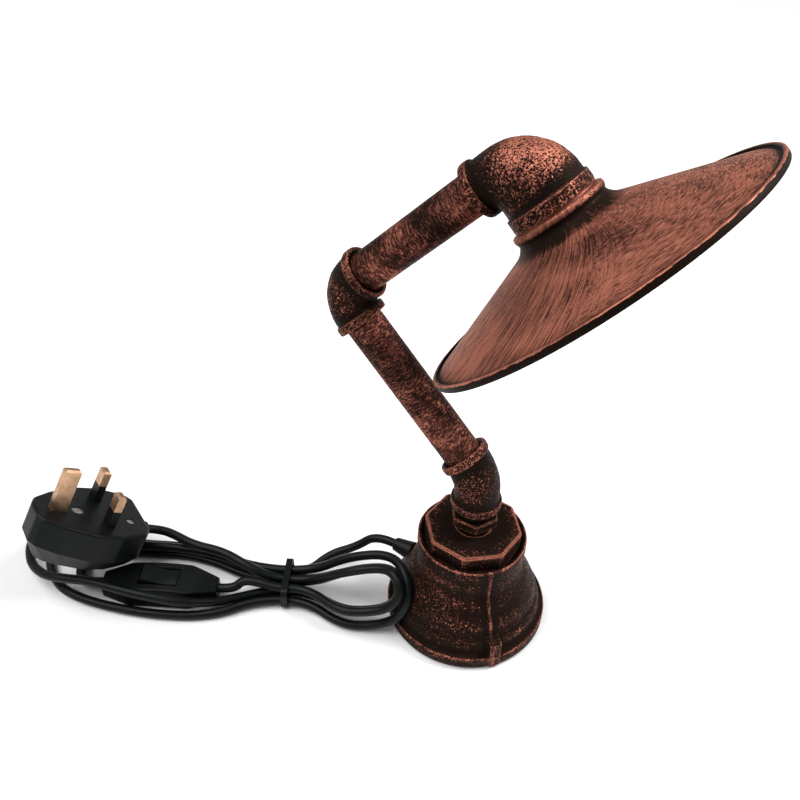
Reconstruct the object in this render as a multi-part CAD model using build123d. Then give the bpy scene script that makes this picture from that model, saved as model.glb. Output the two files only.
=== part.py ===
from build123d import *
import math
import os

os.makedirs("parts", exist_ok=True)

# All lengths are in millimetres and all angles in degrees
# The lamp stands on Z = 0 with the base on the Z axis and the lower pipe leaning towards -X

# Fits and cuts
fit_gap = 0.05
run_gap = 0.09
overrun = 40.0

# Pipe and small fittings
pipe_radius = 8.6
pipe_bore = 6.2
fitting_radius = 10.4
fitting_bore = 6.8
collar_radius = 11.6
collar_length = 3.8
collar_edge = 0.9
mouth_radius = 10.3
mouth_depth = 2.4

# Arm: corner points of the pipe line
arm_lean = 45.0
elbow45_rise = 5.15
elbow45_low_leg = 16.6
elbow45_high_leg = 13.4
elbow45_bend = 22.5
elbow45_pipe_depth = 9.0
lower_run = 101.27
elbow90_leg = 16.32
elbow90_bend = 12.4
elbow90_pipe_depth = 7.0
upper_run = 96.6
upper_turn = 10.79

# Base: cast bell socket and its pad
pad_thick = 1.5
pad_inset = 1.0
band_radius = 39.0
band_top = 7.4
band_chamfer = 0.6
neck_radius = 25.2
neck_bottom = 33.5
rim_radius = 25.6
rim_bottom = 46.6
rim_chamfer = 0.6
base_top = 52.0
ledge_shares = (0.81, 0.02)
ridge_low_shares = (0.71, 0.31)
ridge_top_shares = (0.625, 0.36)
body_mid_shares = (0.46, 0.61)
shoulder_shares = (0.203, 0.845)
cove_shares = (0.05, 0.925)
base_wall = 6.0
base_inner_straight = 10.0
bush_thread_radius = 20.9
rim_bore = 23.6
bush_seat = 48.1
seam_angle = -44.0
seam_width = 1.8
seam_proud = 0.7
seam_tab_width = 5.4
seam_tab_top = 17.0
seam_tab_proud = 0.4

# Octagon bush
octagon_radius = 22.9
octagon_turn = 16.3
octagon_top = 58.1
octagon_edge = 0.7
bush_low = 36.0
bush_recess_radius = 16.4
bush_recess_top = 46.0

# Hex nipple
hex_radius = 11.55
hex_rise = 4.1
hex_thick = 5.1
hex_edge = 0.5
nipple_radius = 8.3
nipple_bore = 5.4
nipple_low = 42.0
nipple_grip = 8.55

# Gland
gland_height = 20.0
gland_radius = 5.0
gland_tip_radius = 3.4
gland_tip = 41.5
gland_seat = 31.5
gland_thread_radius = 3.6
gland_inner = 24.0
gland_inner_seat = 27.6
gland_nut_radius = 5.4
gland_nut_thick = 2.4
gland_edge = 0.8
spot_gap = 0.4

# Earth point under the bush
earth_reach = 12.3
earth_head_radius = 3.2
earth_head_thick = 2.0
earth_thread_radius = 1.9
earth_thread_length = 6.0
tag_radius = 3.6
tag_thick = 0.8
tag_tail = 9.0
tag_tail_width = 3.4

# Flex
cord_radius = 2.3
flex_radius = 2.2
base_flex_bend = 11.0
arm_flex_bend = 9.0
turn_flex_bend = 7.0
head_flex_bend = 8.0
flex_split_drop = 13.05
flex_gap = 0.4

# Head elbow, from its corner: x along the upper pipe, z back up the shade axis
head_small_leg = 21.0
head_pipe_depth = 8.5
head_shift = 3.0
crown_radius = 10.5
dome_drop = 10.4
dome_radius = 16.0
dome_wall = 3.0
big_end = 21.0
big_collar_radius = 17.1
big_collar_length = 5.5
holder_thread_radius = 13.1

# Shade, measured down the shade axis from the head corner
washer_radius = 16.0
washer_thick = 0.6
sheet = 0.9
bead_radius = 19.4
bead_top_radius = 18.3
bead_height = 4.9
flare_radius = 25.0
flare_drop = 30.6
flare_sag = 0.4
groove_radius = 18.7
cone_edge_radius = 71.2
cone_edge_drop = 47.8
rim_ring_reach = 1.9
rim_ring_width = 2.6
rim_ring_lift = 1.2
rim_ring_drop = 1.8
rim_ring_round = 1.0

# Lampholder, measured down the shade axis
holder_radius = 17.0
holder_cap_end = 27.4
holder_cap_roof = 2.5
holder_cap_wall = 2.2
holder_floor = 2.5
holder_mouth = 47.5
shell_inner_radius = 13.25
shell_wall = 0.65
shell_end_gap = 1.0
shell_floor_gap = 3.4
nipple_reach = 9.0
holder_nipple_bore = 8.0
contact_length = 14.0
contact_width = 6.0
contact_thick = 0.6
contact_tip_radius = 2.6
contact_tip_height = 2.2
terminal_reach = 9.0
terminal_radius = 1.8
terminal_height = 2.2

# Hank of cord, laid from the tie: along to the left, across to the front
tie_x = -80.4
tie_y = -40.8
hank_angle = 207.8
strand_pitch = 5.9
layer_step = 5.6
arc_least_turn = 0.02
floor_gap = 0.15
waist_rows_share = (-1.5, 1.5, -1.0, 0.5, -0.5, 1.0, 0.0)
waist_layers = (0, 0, 1, 0, 0, 1, 1)
left_wide_at = 66.0
left_half = 24.0
left_front_at = 49.0
left_front_across = 20.5
left_tips = (125.0, 136.0)
left_tip_heights = (2.45, 7.4)
left_tip_across = -9.0
left_tip_way_share = (-0.4, 1.0, 0.0)
right_pitch = 7.0
right_layer_step = 8.0
right_twist = 43.0
right_front = (-40.0, 21.0, 4.0)
right_front_way_share = (-1.0, 0.0, 0.1)
right_tip = (-62.0, 18.5, 27.0)
right_tip_step = (6.8, -2.4, -2.8)
right_back = (-42.0, -4.0, 27.0)
right_back_way_share = (1.0, 0.0, -0.25)
over_switch = (82.0, 15.5, 14.4)
over_switch_way_share = (-0.93, 0.25, 0.0)
drape = (58.0, 19.0, 12.5)
drape_way_share = (-1.0, 0.05, -0.15)
tuck = (25.5, 9.4, 3.8)
tuck_way_share = (-1.0, -0.48, -0.12)
rise = (18.5, 3.4, 10.6)
rise_way_share = (-1.0, 0.1, 0.02)
turn_back = (108.0, -5.0)
hump = (27.0, -6.5, 15.0)
hump_way_share = (1.0, -0.6, 0.0)
lead = (58.0, -19.0, 14.6)
lead_way_share = (0.85, -0.5, 0.0)
gland_lead = (-27.0, -21.5, 9.0)
gland_lead_way_share = (1.0, 0.12, -0.35)
tie_thick = 0.9
tie_width = 3.2
tie_gap = 0.35
tie_corner = 2.6

# Inline switch
switch_right = 34.0
switch_length = 58.0
switch_across = 6.0
switch_half_width = 9.2
switch_nose_half = 4.2
switch_taper = 14.0
switch_corner = 5.0
switch_split = 6.6
switch_top = 13.4
switch_lift = 0.2
switch_wall = 2.0
switch_edge = 1.0
switch_crown = 130.0
rocker_half_length = 9.2
rocker_half_width = 4.8
rocker_pivot_drop = 2.4
rocker_rise = 4.4
rocker_dip = 2.6
rocker_depth = 1.4
rocker_tilt = 11.0
rocker_gap = 0.6
rocker_pin_radius = 1.1
rocker_pin_length = 1.2
rocker_frame_wall = 1.8
rocker_frame_drop = 4.6
contact_at = 6.0
contact_block = (3.0, 5.0, 3.0)
terminal_at = 18.8
terminal_block = (6.0, 7.0, 5.0)
switch_screw_at = 13.0
switch_screw_across = 5.6
switch_screw_radius = 1.3
switch_screw_head = 2.3
switch_screw_head_thick = 1.6
switch_post_radius = 2.9
switch_screw_reach = 4.0

# Plug, from the root of the earth pin: u to the cord, v across, w out along the pins
plug_root = (-177.2, -89.9, 50.1)
plug_yaw = 62.5
plug_pitch = 32.0
plug_roll = -3.0
plug_end_u = 44.0
plug_back_u = -11.0
plug_half_widths_share = ((-0.20, 0.44), (0.0, 0.70), (0.34, 0.97), (0.62, 1.0), (0.92, 0.80), (1.0, 0.60))
plug_half_width = 22.0
plug_corner = 5.0
plug_split_back = 10.0
plug_split_cord = 4.5
plug_deep_back = 28.0
plug_deep_cord = 20.5
plug_waist = 15.0
plug_taper = 32.0
plug_wall = 2.6
plug_roof = 3.2
plug_edge = 1.4
plug_back_edge = 2.0
earth_pin = (8.0, 4.0, 22.73)
live_pin = (4.0, 6.35, 17.7)
pin_tip_chamfer = 0.9
pin_root = 6.0
live_u = 22.23
live_v = 11.11
sleeve_length = 9.4
sleeve_wall = 0.45
cover_screw_u = 10.0
cover_screw_radius = 2.9
cover_screw_shank = 1.7
screw_head_thick = 1.4
screw_sink = 0.5
grip_screw_u = 35.2
grip_screw_v = 7.0
grip_screw_radius = 2.1
grip_screw_shank = 1.3
grip_length = 4.6
grip_half_width = 9.0
grip_thick = 2.2
slot_width = 0.7
slot_depth = 0.6
fuse_radius = 3.15
fuse_length = 25.4
fuse_u = 9.5
fuse_v = 12.6
fuse_drop = 9.6
clip_length = 5.0
clip_half_width = 3.4
clip_drop = 9.4
boot_radius = 3.9
boot_length = 6.0
boot_drop = 9.0
boot_edge = 1.2

BOTTOM = (Align.CENTER, Align.CENTER, Align.MIN)
LOW = (Align.MIN, Align.MIN, Align.MIN)


def post(radius, low, high):
    """Upright cylinder on the Z axis."""
    return Pos(0, 0, low) * Cylinder(radius, high - low, align=BOTTOM)


def block(low, high):
    """Box between two corners."""
    size = Vector(*high) - Vector(*low)
    return Pos(*low) * Box(size.X, size.Y, size.Z, align=LOW)


def rod(start, end, radius):
    """Straight round rod between two points."""
    way = Vector(*end) - Vector(*start)
    return Plane(origin=start, z_dir=way).location * Cylinder(radius, way.length, align=BOTTOM)


def bent(start, corner, end, bend, radius):
    """Round rod with one bend."""
    path = FilletPolyline(start, corner, end, radius=bend)
    return sweep(Plane(origin=start, z_dir=corner - start) * Circle(radius), path=path)


def band(end, way, radius, length):
    """Rounded collar that runs inwards from the end face of a fitting."""
    ring = Cylinder(radius, length, align=BOTTOM)
    ring = fillet(ring.edges().filter_by(GeomType.CIRCLE), collar_edge)
    return Plane(origin=end, z_dir=way).location * ring


def mouth(end, way, radius):
    """Countersink at the end face of a fitting."""
    cone = Cone(mouth_radius, radius, mouth_depth, align=BOTTOM)
    return Plane(origin=end, z_dir=way).location * cone


def fitting(start, corner, end, bend, low_hole, low_depth, high_hole, high_depth):
    """Pipe elbow with a collar and a socket at both ends."""
    way_in = (corner - start).normalized()
    way_back = (corner - end).normalized()
    solid = bent(start, corner, end, bend, fitting_radius)
    solid += band(start, way_in, collar_radius, collar_length)
    solid += band(end, way_back, collar_radius, collar_length)
    solid -= bent(start, corner, end, bend, fitting_bore)
    solid -= rod(start, start + way_in * low_depth, low_hole)
    solid -= rod(end, end + way_back * high_depth, high_hole)
    solid -= mouth(start, way_in, low_hole)
    solid -= mouth(end, way_back, high_hole)
    return solid


def save(name, shape):
    """Writes one piece and prints its volume."""
    solids = shape.solids()
    print(f"{name}: {len(solids)} solid, {sum(part.volume for part in solids):.0f} mm3")
    if len(solids) == 1:
        shape = solids[0]
    else:
        shape = Compound(children=list(solids))
    shape.label = name
    export_step(shape, f"parts/{name}.step")


# Points and directions of the arm
hex_low = octagon_top + hex_rise
hex_high = hex_low + hex_thick
elbow45_end = hex_high + elbow45_rise
elbow45_height = elbow45_end + elbow45_low_leg
nipple_top = elbow45_end + nipple_grip
flex_split = elbow45_height - flex_split_drop
lean = math.radians(arm_lean)
lower_way = Vector(-math.sin(lean), 0, math.cos(lean))
upper_way = Vector(math.cos(lean), 0, math.sin(lean))
corner_1 = Vector(0, 0, elbow45_height)
corner_2 = corner_1 + lower_way * lower_run
corner_3 = corner_2 + upper_way * upper_run
head_frame = Plane(origin=corner_3, x_dir=upper_way, z_dir=lower_way)
swing_axis = Axis(corner_2, lower_way)


def swung(shape):
    """Turns a piece of the upper arm to its resting place round the lower pipe."""
    return shape.rotate(swing_axis, upper_turn)


def on_head(shape):
    """Places a piece made about the head corner."""
    return swung(head_frame.location * shape)


# Base socket


def bell(grow):
    """Outside of the bell socket, its radii grown by a little for the seam rib."""

    def at(shares):
        radius = neck_radius + shares[0] * (band_radius - neck_radius) + grow
        return (radius, 0, band_top + shares[1] * (neck_bottom - band_top))

    outer = band_radius + grow
    neck = neck_radius + grow
    rim = rim_radius + grow
    foot = (0, 0, pad_thick)
    skirt = Polyline(
        foot,
        (outer - band_chamfer, 0, pad_thick),
        (outer, 0, pad_thick + band_chamfer),
        (outer, 0, band_top - band_chamfer),
        (outer - band_chamfer, 0, band_top),
        at(ledge_shares),
        at(ridge_low_shares),
        at(ridge_top_shares),
    )
    body = ThreePointArc(at(ridge_top_shares), at(body_mid_shares), at(shoulder_shares))
    cove = ThreePointArc(at(shoulder_shares), at(cove_shares), (neck, 0, neck_bottom))
    crown = Polyline(
        (neck, 0, neck_bottom),
        (neck, 0, rim_bottom - rim_chamfer),
        (rim, 0, rim_bottom),
        (rim, 0, base_top - rim_chamfer),
        (rim - rim_chamfer, 0, base_top),
        (0, 0, base_top),
        foot,
    )
    return revolve(make_face([skirt, body, cove, crown]), Axis.Z)


base_inner_radius = band_radius - base_wall
hollow = revolve(
    make_face(
        Polyline(
            (0, 0, 0),
            (base_inner_radius, 0, 0),
            (base_inner_radius, 0, base_inner_straight),
            (bush_thread_radius + fit_gap, 0, neck_bottom),
            (bush_thread_radius + fit_gap, 0, bush_seat),
            (rim_bore, 0, bush_seat),
            (rim_bore, 0, base_top + overrun),
            (0, 0, base_top + overrun),
            (0, 0, 0),
        )
    ),
    Axis.Z,
)
shell = bell(0)
half_seam = seam_width / 2
half_tab = seam_tab_width / 2
seam = block((-overrun, -half_seam, pad_thick), (overrun, half_seam, base_top)) & bell(seam_proud)
tab = block((-overrun, -half_tab, pad_thick), (overrun, half_tab, seam_tab_top))
tab &= post(band_radius + seam_tab_proud, pad_thick, seam_tab_top)
shell += Rot(0, 0, seam_angle) * seam
shell += Rot(0, 0, seam_angle) * tab
shell -= hollow
gland_line = Pos(0, 0, gland_height) * Rot(0, -90, 0)
shell -= gland_line * post(gland_thread_radius + fit_gap, 0, overrun)
shell -= gland_line * post(gland_radius + spot_gap, gland_seat, overrun + overrun)
shell -= gland_line * post(gland_nut_radius + spot_gap, 0, gland_inner_seat)
save("base_reducer", shell)

save("base_pad", post(band_radius - pad_inset, 0, pad_thick))

# Octagon bush and hex nipple
octagon_plan = RegularPolygon(octagon_radius, 8, rotation=octagon_turn)
octagon = extrude(Pos(0, 0, bush_seat) * octagon_plan, octagon_top - bush_seat)
octagon = chamfer(octagon.edges(), octagon_edge)
bush = octagon + post(bush_thread_radius, bush_low, bush_seat)
bush -= post(nipple_radius + fit_gap, 0, octagon_top + overrun)
bush -= post(bush_recess_radius, 0, bush_recess_top)
earth_spot = Pos(0, earth_reach, bush_recess_top)
bush -= earth_spot * post(earth_thread_radius + fit_gap, 0, earth_thread_length + fit_gap)
save("reducing_bush", bush)

hexagon = extrude(Pos(0, 0, hex_low) * RegularPolygon(hex_radius, 6), hex_high - hex_low)
hexagon = chamfer(hexagon.edges(), hex_edge)
nipple = hexagon + post(nipple_radius, nipple_low, nipple_top)
nipple -= post(nipple_bore, 0, nipple_top + overrun)
save("hex_nipple", nipple)

# Earth tag and screw
tag = post(tag_radius, -tag_thick, 0)
tag += block((0, -tag_tail_width / 2, -tag_thick), (tag_tail, tag_tail_width / 2, 0))
tag -= post(earth_thread_radius + fit_gap, -tag_thick, tag_thick)
tag &= Pos(0, -earth_reach, 0) * post(bush_recess_radius - spot_gap, -tag_thick, 0)
tag -= Pos(0, -earth_reach, 0) * post(nipple_radius + spot_gap, -tag_thick, tag_thick)
save("earth_tag", earth_spot * tag)
earth_screw = post(earth_head_radius, -tag_thick - earth_head_thick, -tag_thick)
earth_screw += post(earth_thread_radius, -tag_thick, earth_thread_length)
save("earth_screw", earth_spot * earth_screw)

# Gland
gland = Pos(0, 0, gland_seat) * Cone(gland_radius, gland_tip_radius, gland_tip - gland_seat, align=BOTTOM)
gland = fillet(gland.edges().filter_by(GeomType.CIRCLE).sort_by(Axis.Z)[-1], gland_edge)
gland += post(gland_thread_radius, gland_inner, gland_seat)
save("cable_gland", gland_line * gland)
nut_low = gland_inner_seat - gland_nut_thick
gland_nut = extrude(Pos(0, 0, nut_low) * RegularPolygon(gland_nut_radius, 6), gland_nut_thick)
gland_nut -= post(gland_thread_radius + fit_gap, 0, overrun)
save("gland_nut", gland_line * gland_nut)

# Arm fittings and pipes
elbow_45 = fitting(
    corner_1 - Vector(0, 0, elbow45_low_leg),
    corner_1,
    corner_1 + lower_way * elbow45_high_leg,
    elbow45_bend,
    nipple_radius + run_gap,
    nipple_grip + fit_gap,
    pipe_radius + fit_gap,
    elbow45_pipe_depth,
)
save("elbow_45", elbow_45)
pipe_low = corner_1 + lower_way * (elbow45_high_leg - elbow45_pipe_depth)
pipe_high = corner_2 - lower_way * (elbow90_leg - elbow90_pipe_depth + fit_gap)
lower_pipe = rod(pipe_low, pipe_high, pipe_radius) - rod(pipe_low, pipe_high, pipe_bore)
save("lower_pipe", lower_pipe)

elbow_90 = fitting(
    corner_2 - lower_way * elbow90_leg,
    corner_2,
    corner_2 + upper_way * elbow90_leg,
    elbow90_bend,
    pipe_radius + run_gap,
    elbow90_pipe_depth,
    pipe_radius + fit_gap,
    elbow90_pipe_depth,
)
save("elbow_90", swung(elbow_90))
pipe_start = corner_2 + upper_way * (elbow90_leg - elbow90_pipe_depth)
pipe_end = corner_3 - upper_way * (head_small_leg - head_pipe_depth + fit_gap)
upper_pipe = rod(pipe_start, pipe_end, pipe_radius) - rod(pipe_start, pipe_end, pipe_bore)
save("upper_pipe", swung(upper_pipe))

# Head elbow: the small end lies along -X, the big end faces -Z


def pod(small, big):
    """Two balls, at the small end's corner and in the dome, wrapped in one smooth skin."""
    span = math.hypot(head_shift, dome_drop)
    tilt = (big - small) / span
    side = math.sqrt(1 - tilt * tilt)
    small_touch = (small * side, 0, small * tilt)
    big_touch = (big * side, 0, big * tilt - span)
    half_angle = math.asin(tilt) / 2 + math.pi / 4
    small_mid = (small * math.cos(half_angle), 0, small * math.sin(half_angle))
    low_angle = math.asin(tilt) / 2 - math.pi / 4
    big_mid = (big * math.cos(low_angle), 0, big * math.sin(low_angle) - span)
    outline = [
        ThreePointArc((0, 0, small), small_mid, small_touch),
        Line(small_touch, big_touch),
        ThreePointArc(big_touch, big_mid, (0, 0, -span - big)),
        Line((0, 0, -span - big), (0, 0, small)),
    ]
    skin = revolve(make_face(outline), Axis.Z)
    lean_back = Vector(-head_shift, 0, dome_drop)
    return Plane(origin=(-head_shift, 0, 0), z_dir=lean_back).location * skin


small_face = Vector(-head_small_leg, 0, 0)
inwards = Vector(1, 0, 0)
head = pod(crown_radius, dome_radius)
head += rod(small_face, (-head_shift, 0, 0), fitting_radius)
head += post(dome_radius, -big_end, -dome_drop)
head -= post(big_collar_radius + overrun, -big_end - overrun, -big_end)
head += band(Vector(0, 0, -big_end), Vector(0, 0, 1), big_collar_radius, big_collar_length)
head += band(small_face, inwards, collar_radius, collar_length)
cavity = pod(fitting_bore, dome_radius - dome_wall)
cavity -= post(big_collar_radius + overrun, -big_end - overrun, -big_end + nipple_reach)
head -= cavity
head -= rod(small_face, (-head_shift, 0, 0), fitting_bore)
head -= rod(small_face, small_face + inwards * head_pipe_depth, pipe_radius + run_gap)
head -= mouth(small_face, inwards, pipe_radius + run_gap)
head -= post(holder_thread_radius + fit_gap, -big_end - overrun, -big_end + nipple_reach)
save("head_elbow", on_head(head))

# Shade and its washer
shade_top = big_end + washer_thick
washer = post(washer_radius, -shade_top, -big_end) - post(holder_thread_radius + fit_gap, -shade_top, 0)
save("shade_washer", on_head(washer))


def flare(radius_less, drop_more):
    """Middle point of the flare between the neck groove and the cone."""
    radius = (groove_radius + flare_radius) / 2 - radius_less
    return (radius, 0, -(shade_top + bead_height + flare_drop) / 2 - flare_sag - drop_more)


hole = holder_thread_radius + fit_gap
bead_mid = -shade_top - bead_height / 2
groove = (groove_radius, 0, -shade_top - bead_height)
inner_groove = (groove_radius - sheet, 0, -shade_top - bead_height - sheet / 2)
cone_top = (flare_radius, 0, -flare_drop)
cone_edge = (cone_edge_radius, 0, -cone_edge_drop)
inner_cone_edge = (cone_edge_radius, 0, -cone_edge_drop - sheet)
inner_cone_top = (flare_radius - sheet / 2, 0, -flare_drop - sheet)
inner_top = (bead_top_radius - sheet / 2, 0, -shade_top - sheet)
spun = make_face(
    [
        Line((hole, 0, -shade_top), (bead_top_radius, 0, -shade_top)),
        ThreePointArc((bead_top_radius, 0, -shade_top), (bead_radius, 0, bead_mid), groove),
        ThreePointArc(groove, flare(0, 0), cone_top),
        Polyline(cone_top, cone_edge, inner_cone_edge, inner_cone_top),
        ThreePointArc(inner_cone_top, flare(sheet / 2, sheet), inner_groove),
        ThreePointArc(inner_groove, (bead_radius - sheet, 0, bead_mid), inner_top),
        Polyline(inner_top, (hole, 0, -shade_top - sheet), (hole, 0, -shade_top)),
    ]
)
shade = revolve(spun, Axis.Z)
rim_ring_radius = cone_edge_radius + rim_ring_reach
rim_ring_top = cone_edge_drop - rim_ring_lift
rim_ring_bottom = cone_edge_drop + rim_ring_drop
rim_ring = post(rim_ring_radius, -rim_ring_bottom, -rim_ring_top)
rim_ring -= post(rim_ring_radius - rim_ring_width, -rim_ring_bottom, -rim_ring_top)
rim_ring = fillet(rim_ring.edges().filter_by(GeomType.CIRCLE), rim_ring_round)
shade += rim_ring
save("shade", on_head(shade))

# Lampholder
cap_top = shade_top + sheet
roof_end = cap_top + holder_cap_roof
floor_end = holder_cap_end + holder_floor
holder_nipple = post(holder_thread_radius, -roof_end, -big_end + nipple_reach)
holder_nipple -= post(holder_nipple_bore, -overrun, 0)
save("holder_nipple", on_head(holder_nipple))
cap = post(holder_radius, -holder_cap_end, -cap_top)
cap -= post(hole, -roof_end, 0)
cap -= post(holder_radius - holder_cap_wall, -holder_cap_end, -roof_end)
save("lampholder_cap", on_head(cap))
shell_outer = shell_inner_radius + shell_wall
body = post(holder_radius, -holder_mouth, -holder_cap_end)
body -= post(shell_outer + fit_gap, -holder_mouth, -floor_end)
save("lampholder_body", on_head(body))
screw_shell = post(shell_outer, -holder_mouth + shell_end_gap, -floor_end - shell_floor_gap)
screw_shell -= post(shell_inner_radius, -holder_mouth, -floor_end)
save("screw_shell", on_head(screw_shell))
half_contact = contact_length / 2
contact = block(
    (-half_contact, -contact_width / 2, -floor_end - contact_thick),
    (half_contact, contact_width / 2, -floor_end),
)
contact += post(contact_tip_radius, -floor_end - contact_tip_height, -floor_end - contact_thick)
save("centre_contact", on_head(contact))
terminal = post(terminal_radius, -holder_cap_end, -holder_cap_end + terminal_height)
terminal_pair = Pos(terminal_reach, 0, 0) * terminal + Pos(-terminal_reach, 0, 0) * terminal
save("holder_terminals", on_head(terminal_pair))

# Flex inside the lamp, split at each swivel
flex_in_base = bent(
    Vector(-gland_inner, 0, gland_height),
    Vector(0, 0, gland_height),
    Vector(0, 0, flex_split),
    base_flex_bend,
    flex_radius,
)
save("flex_in_base", flex_in_base)
flex_lower = bent(
    Vector(0, 0, flex_split + flex_gap),
    corner_1,
    pipe_high,
    arm_flex_bend,
    flex_radius,
)
save("flex_lower", flex_lower)
flex_turn = pipe_high + lower_way * flex_gap
flex_upper = bent(flex_turn, corner_2, pipe_end, turn_flex_bend, flex_radius)
save("flex_upper", swung(flex_upper))
flex_in = Vector(-head_small_leg + head_pipe_depth + flex_gap, 0, 0)
flex_head = bent(flex_in, Vector(0, 0, 0), Vector(0, 0, -holder_cap_end), head_flex_bend, flex_radius)
save("flex_head", on_head(flex_head))

# Switch, made along its own X from the cord's right end
hank_way = math.radians(hank_angle)
hank = Plane(origin=(tie_x, tie_y, 0), x_dir=(math.cos(hank_way), math.sin(hank_way), 0), z_dir=(0, 0, 1))
switch_mid = switch_right + switch_length / 2
switch_frame = hank.location * Pos(switch_mid, switch_across, switch_lift)


def switch_plan(inset):
    """Outline of the switch seen from above."""
    end = switch_length / 2 - inset
    shoulder = switch_length / 2 - switch_taper
    nose = switch_nose_half - inset / 2
    side = switch_half_width - inset
    corners = [(end, nose), (shoulder, side), (-shoulder, side), (-end, nose)]
    corners += [(-end, -nose), (-shoulder, -side), (shoulder, -side), (end, -nose)]
    plan = make_face(Polyline(*corners, close=True))
    wide = [corner for corner in plan.vertices() if abs(corner.Y) > side - fit_gap]
    return fillet(wide, switch_corner)


lower_shell = extrude(switch_plan(0), switch_split)
lower_shell = chamfer(lower_shell.faces().sort_by(Axis.Z)[0].edges(), switch_edge)
upper_shell = extrude(Pos(0, 0, switch_split) * switch_plan(0), switch_top - switch_split)
crown = Pos(0, 0, switch_top - switch_crown) * Rot(90, 0, 0)
upper_shell &= crown * Cylinder(switch_crown, switch_length)
upper_shell = fillet(upper_shell.faces().sort_by(Axis.Z)[-1].edges(), switch_edge)
room = extrude(Pos(0, 0, switch_wall) * switch_plan(switch_wall), switch_top - switch_wall - switch_wall)
room &= crown * Cylinder(switch_crown - switch_wall, switch_length)
lower_shell -= room
upper_shell -= room

pivot = Pos(0, 0, switch_top - rocker_pivot_drop)
frame_x = rocker_half_length + rocker_gap
frame_y = rocker_half_width + rocker_gap
frame_low = switch_top - rocker_frame_drop
outer_x = frame_x + rocker_frame_wall
outer_y = frame_y + rocker_frame_wall
upper_shell += block((-outer_x, -outer_y, frame_low), (outer_x, outer_y, switch_top - switch_wall))
upper_shell -= block((-frame_x, -frame_y, frame_low), (frame_x, frame_y, switch_top + overrun))
pin_hole = Rot(90, 0, 0) * Cylinder(rocker_pin_radius + run_gap, 2 * (frame_y + rocker_pin_length))
upper_shell -= pivot * pin_hole

screw_posts = []
for x_sign in (-1, 1):
    for y_sign in (-1, 1):
        screw_posts.append(Pos(x_sign * switch_screw_at, y_sign * switch_screw_across, 0))
screw_end = switch_split + switch_screw_reach
screws = []
for spot in screw_posts:
    lower_shell += spot * post(switch_post_radius, 0, switch_split)
    upper_shell += spot * post(switch_post_radius, switch_split, switch_top - switch_wall)
    lower_shell -= spot * post(switch_screw_radius + fit_gap, 0, switch_split)
    lower_shell -= spot * post(switch_screw_head + fit_gap, 0, switch_screw_head_thick)
    upper_shell -= spot * post(switch_screw_radius + fit_gap, switch_split, screw_end + fit_gap)
    screw = post(switch_screw_head, 0, switch_screw_head_thick)
    screw += post(switch_screw_radius, switch_screw_head_thick, screw_end)
    screws.append(switch_frame * spot * screw)
save("switch_base", switch_frame * lower_shell)
save("switch_cover", switch_frame * upper_shell)
save("switch_screws", Compound(children=screws))

rocker_end = math.hypot(rocker_half_length, rocker_rise - rocker_pivot_drop)
rocker_side = make_face(
    [
        Polyline(
            (-rocker_half_length, 0, rocker_rise - rocker_pivot_drop),
            (0, 0, rocker_dip - rocker_pivot_drop + rocker_depth),
            (rocker_half_length, 0, rocker_rise - rocker_pivot_drop),
        ),
        ThreePointArc(
            (rocker_half_length, 0, rocker_rise - rocker_pivot_drop),
            (rocker_end, 0, 0),
            (rocker_half_length, 0, rocker_pivot_drop - rocker_rise),
        ),
        Line(
            (rocker_half_length, 0, rocker_pivot_drop - rocker_rise),
            (-rocker_half_length, 0, rocker_pivot_drop - rocker_rise),
        ),
        ThreePointArc(
            (-rocker_half_length, 0, rocker_pivot_drop - rocker_rise),
            (-rocker_end, 0, 0),
            (-rocker_half_length, 0, rocker_rise - rocker_pivot_drop),
        ),
    ]
)
rocker = extrude(rocker_side, rocker_half_width, both=True)
pin_half = frame_y + rocker_pin_length - run_gap
rocker += Rot(90, 0, 0) * Cylinder(rocker_pin_radius, 2 * pin_half)
save("switch_rocker", switch_frame * pivot * Rot(0, -rocker_tilt, 0) * rocker)


def standing(size, x_at):
    """Block on the floor of the switch, one at each end."""
    half_x = size[0] / 2
    half_y = size[1] / 2
    one = block((x_at - half_x, -half_y, switch_wall), (x_at + half_x, half_y, switch_wall + size[2]))
    return one


contacts = [switch_frame * standing(contact_block, side * contact_at) for side in (-1, 1)]
save("switch_contacts", Compound(children=contacts))
terminals = [switch_frame * standing(terminal_block, side * terminal_at) for side in (-1, 1)]
save("switch_terminals", Compound(children=terminals))

# Plug, made with the face of its pins on Z = 0
plug_frame = Pos(*plug_root) * Rot(0, 0, plug_yaw) * Rot(0, plug_pitch, 0) * Rot(plug_roll, 0, 0)
plug_span = plug_end_u - plug_back_u


def plug_plan(inset):
    """Outline of the plug seen along its pins."""
    right = []
    for length_share, width_share in plug_half_widths_share:
        right.append((length_share * plug_end_u, width_share * plug_half_width))
    left = [(u, -v) for u, v in reversed(right)]
    tail = [(plug_back_u, -right[0][1] / 2), (plug_back_u, right[0][1] / 2)]
    plan = make_face(Polyline(*right, *left, *tail, close=True))
    plan = fillet(plan.vertices(), plug_corner)
    if inset:
        plan = offset(plan, -inset, kind=Kind.INTERSECTION)
    return plan


def below(depth_back, depth_cord):
    """Everything under a plane that slopes from the earth end to the cord end."""
    slope = math.degrees(math.atan2(depth_back - depth_cord, plug_span))
    corner = Pos(plug_back_u, 0, -depth_back) * Rot(0, -slope, 0)
    return corner * Pos(plug_span / 2, 0, -overrun) * Box(4 * plug_span, 4 * plug_span, 2 * overrun)


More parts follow.
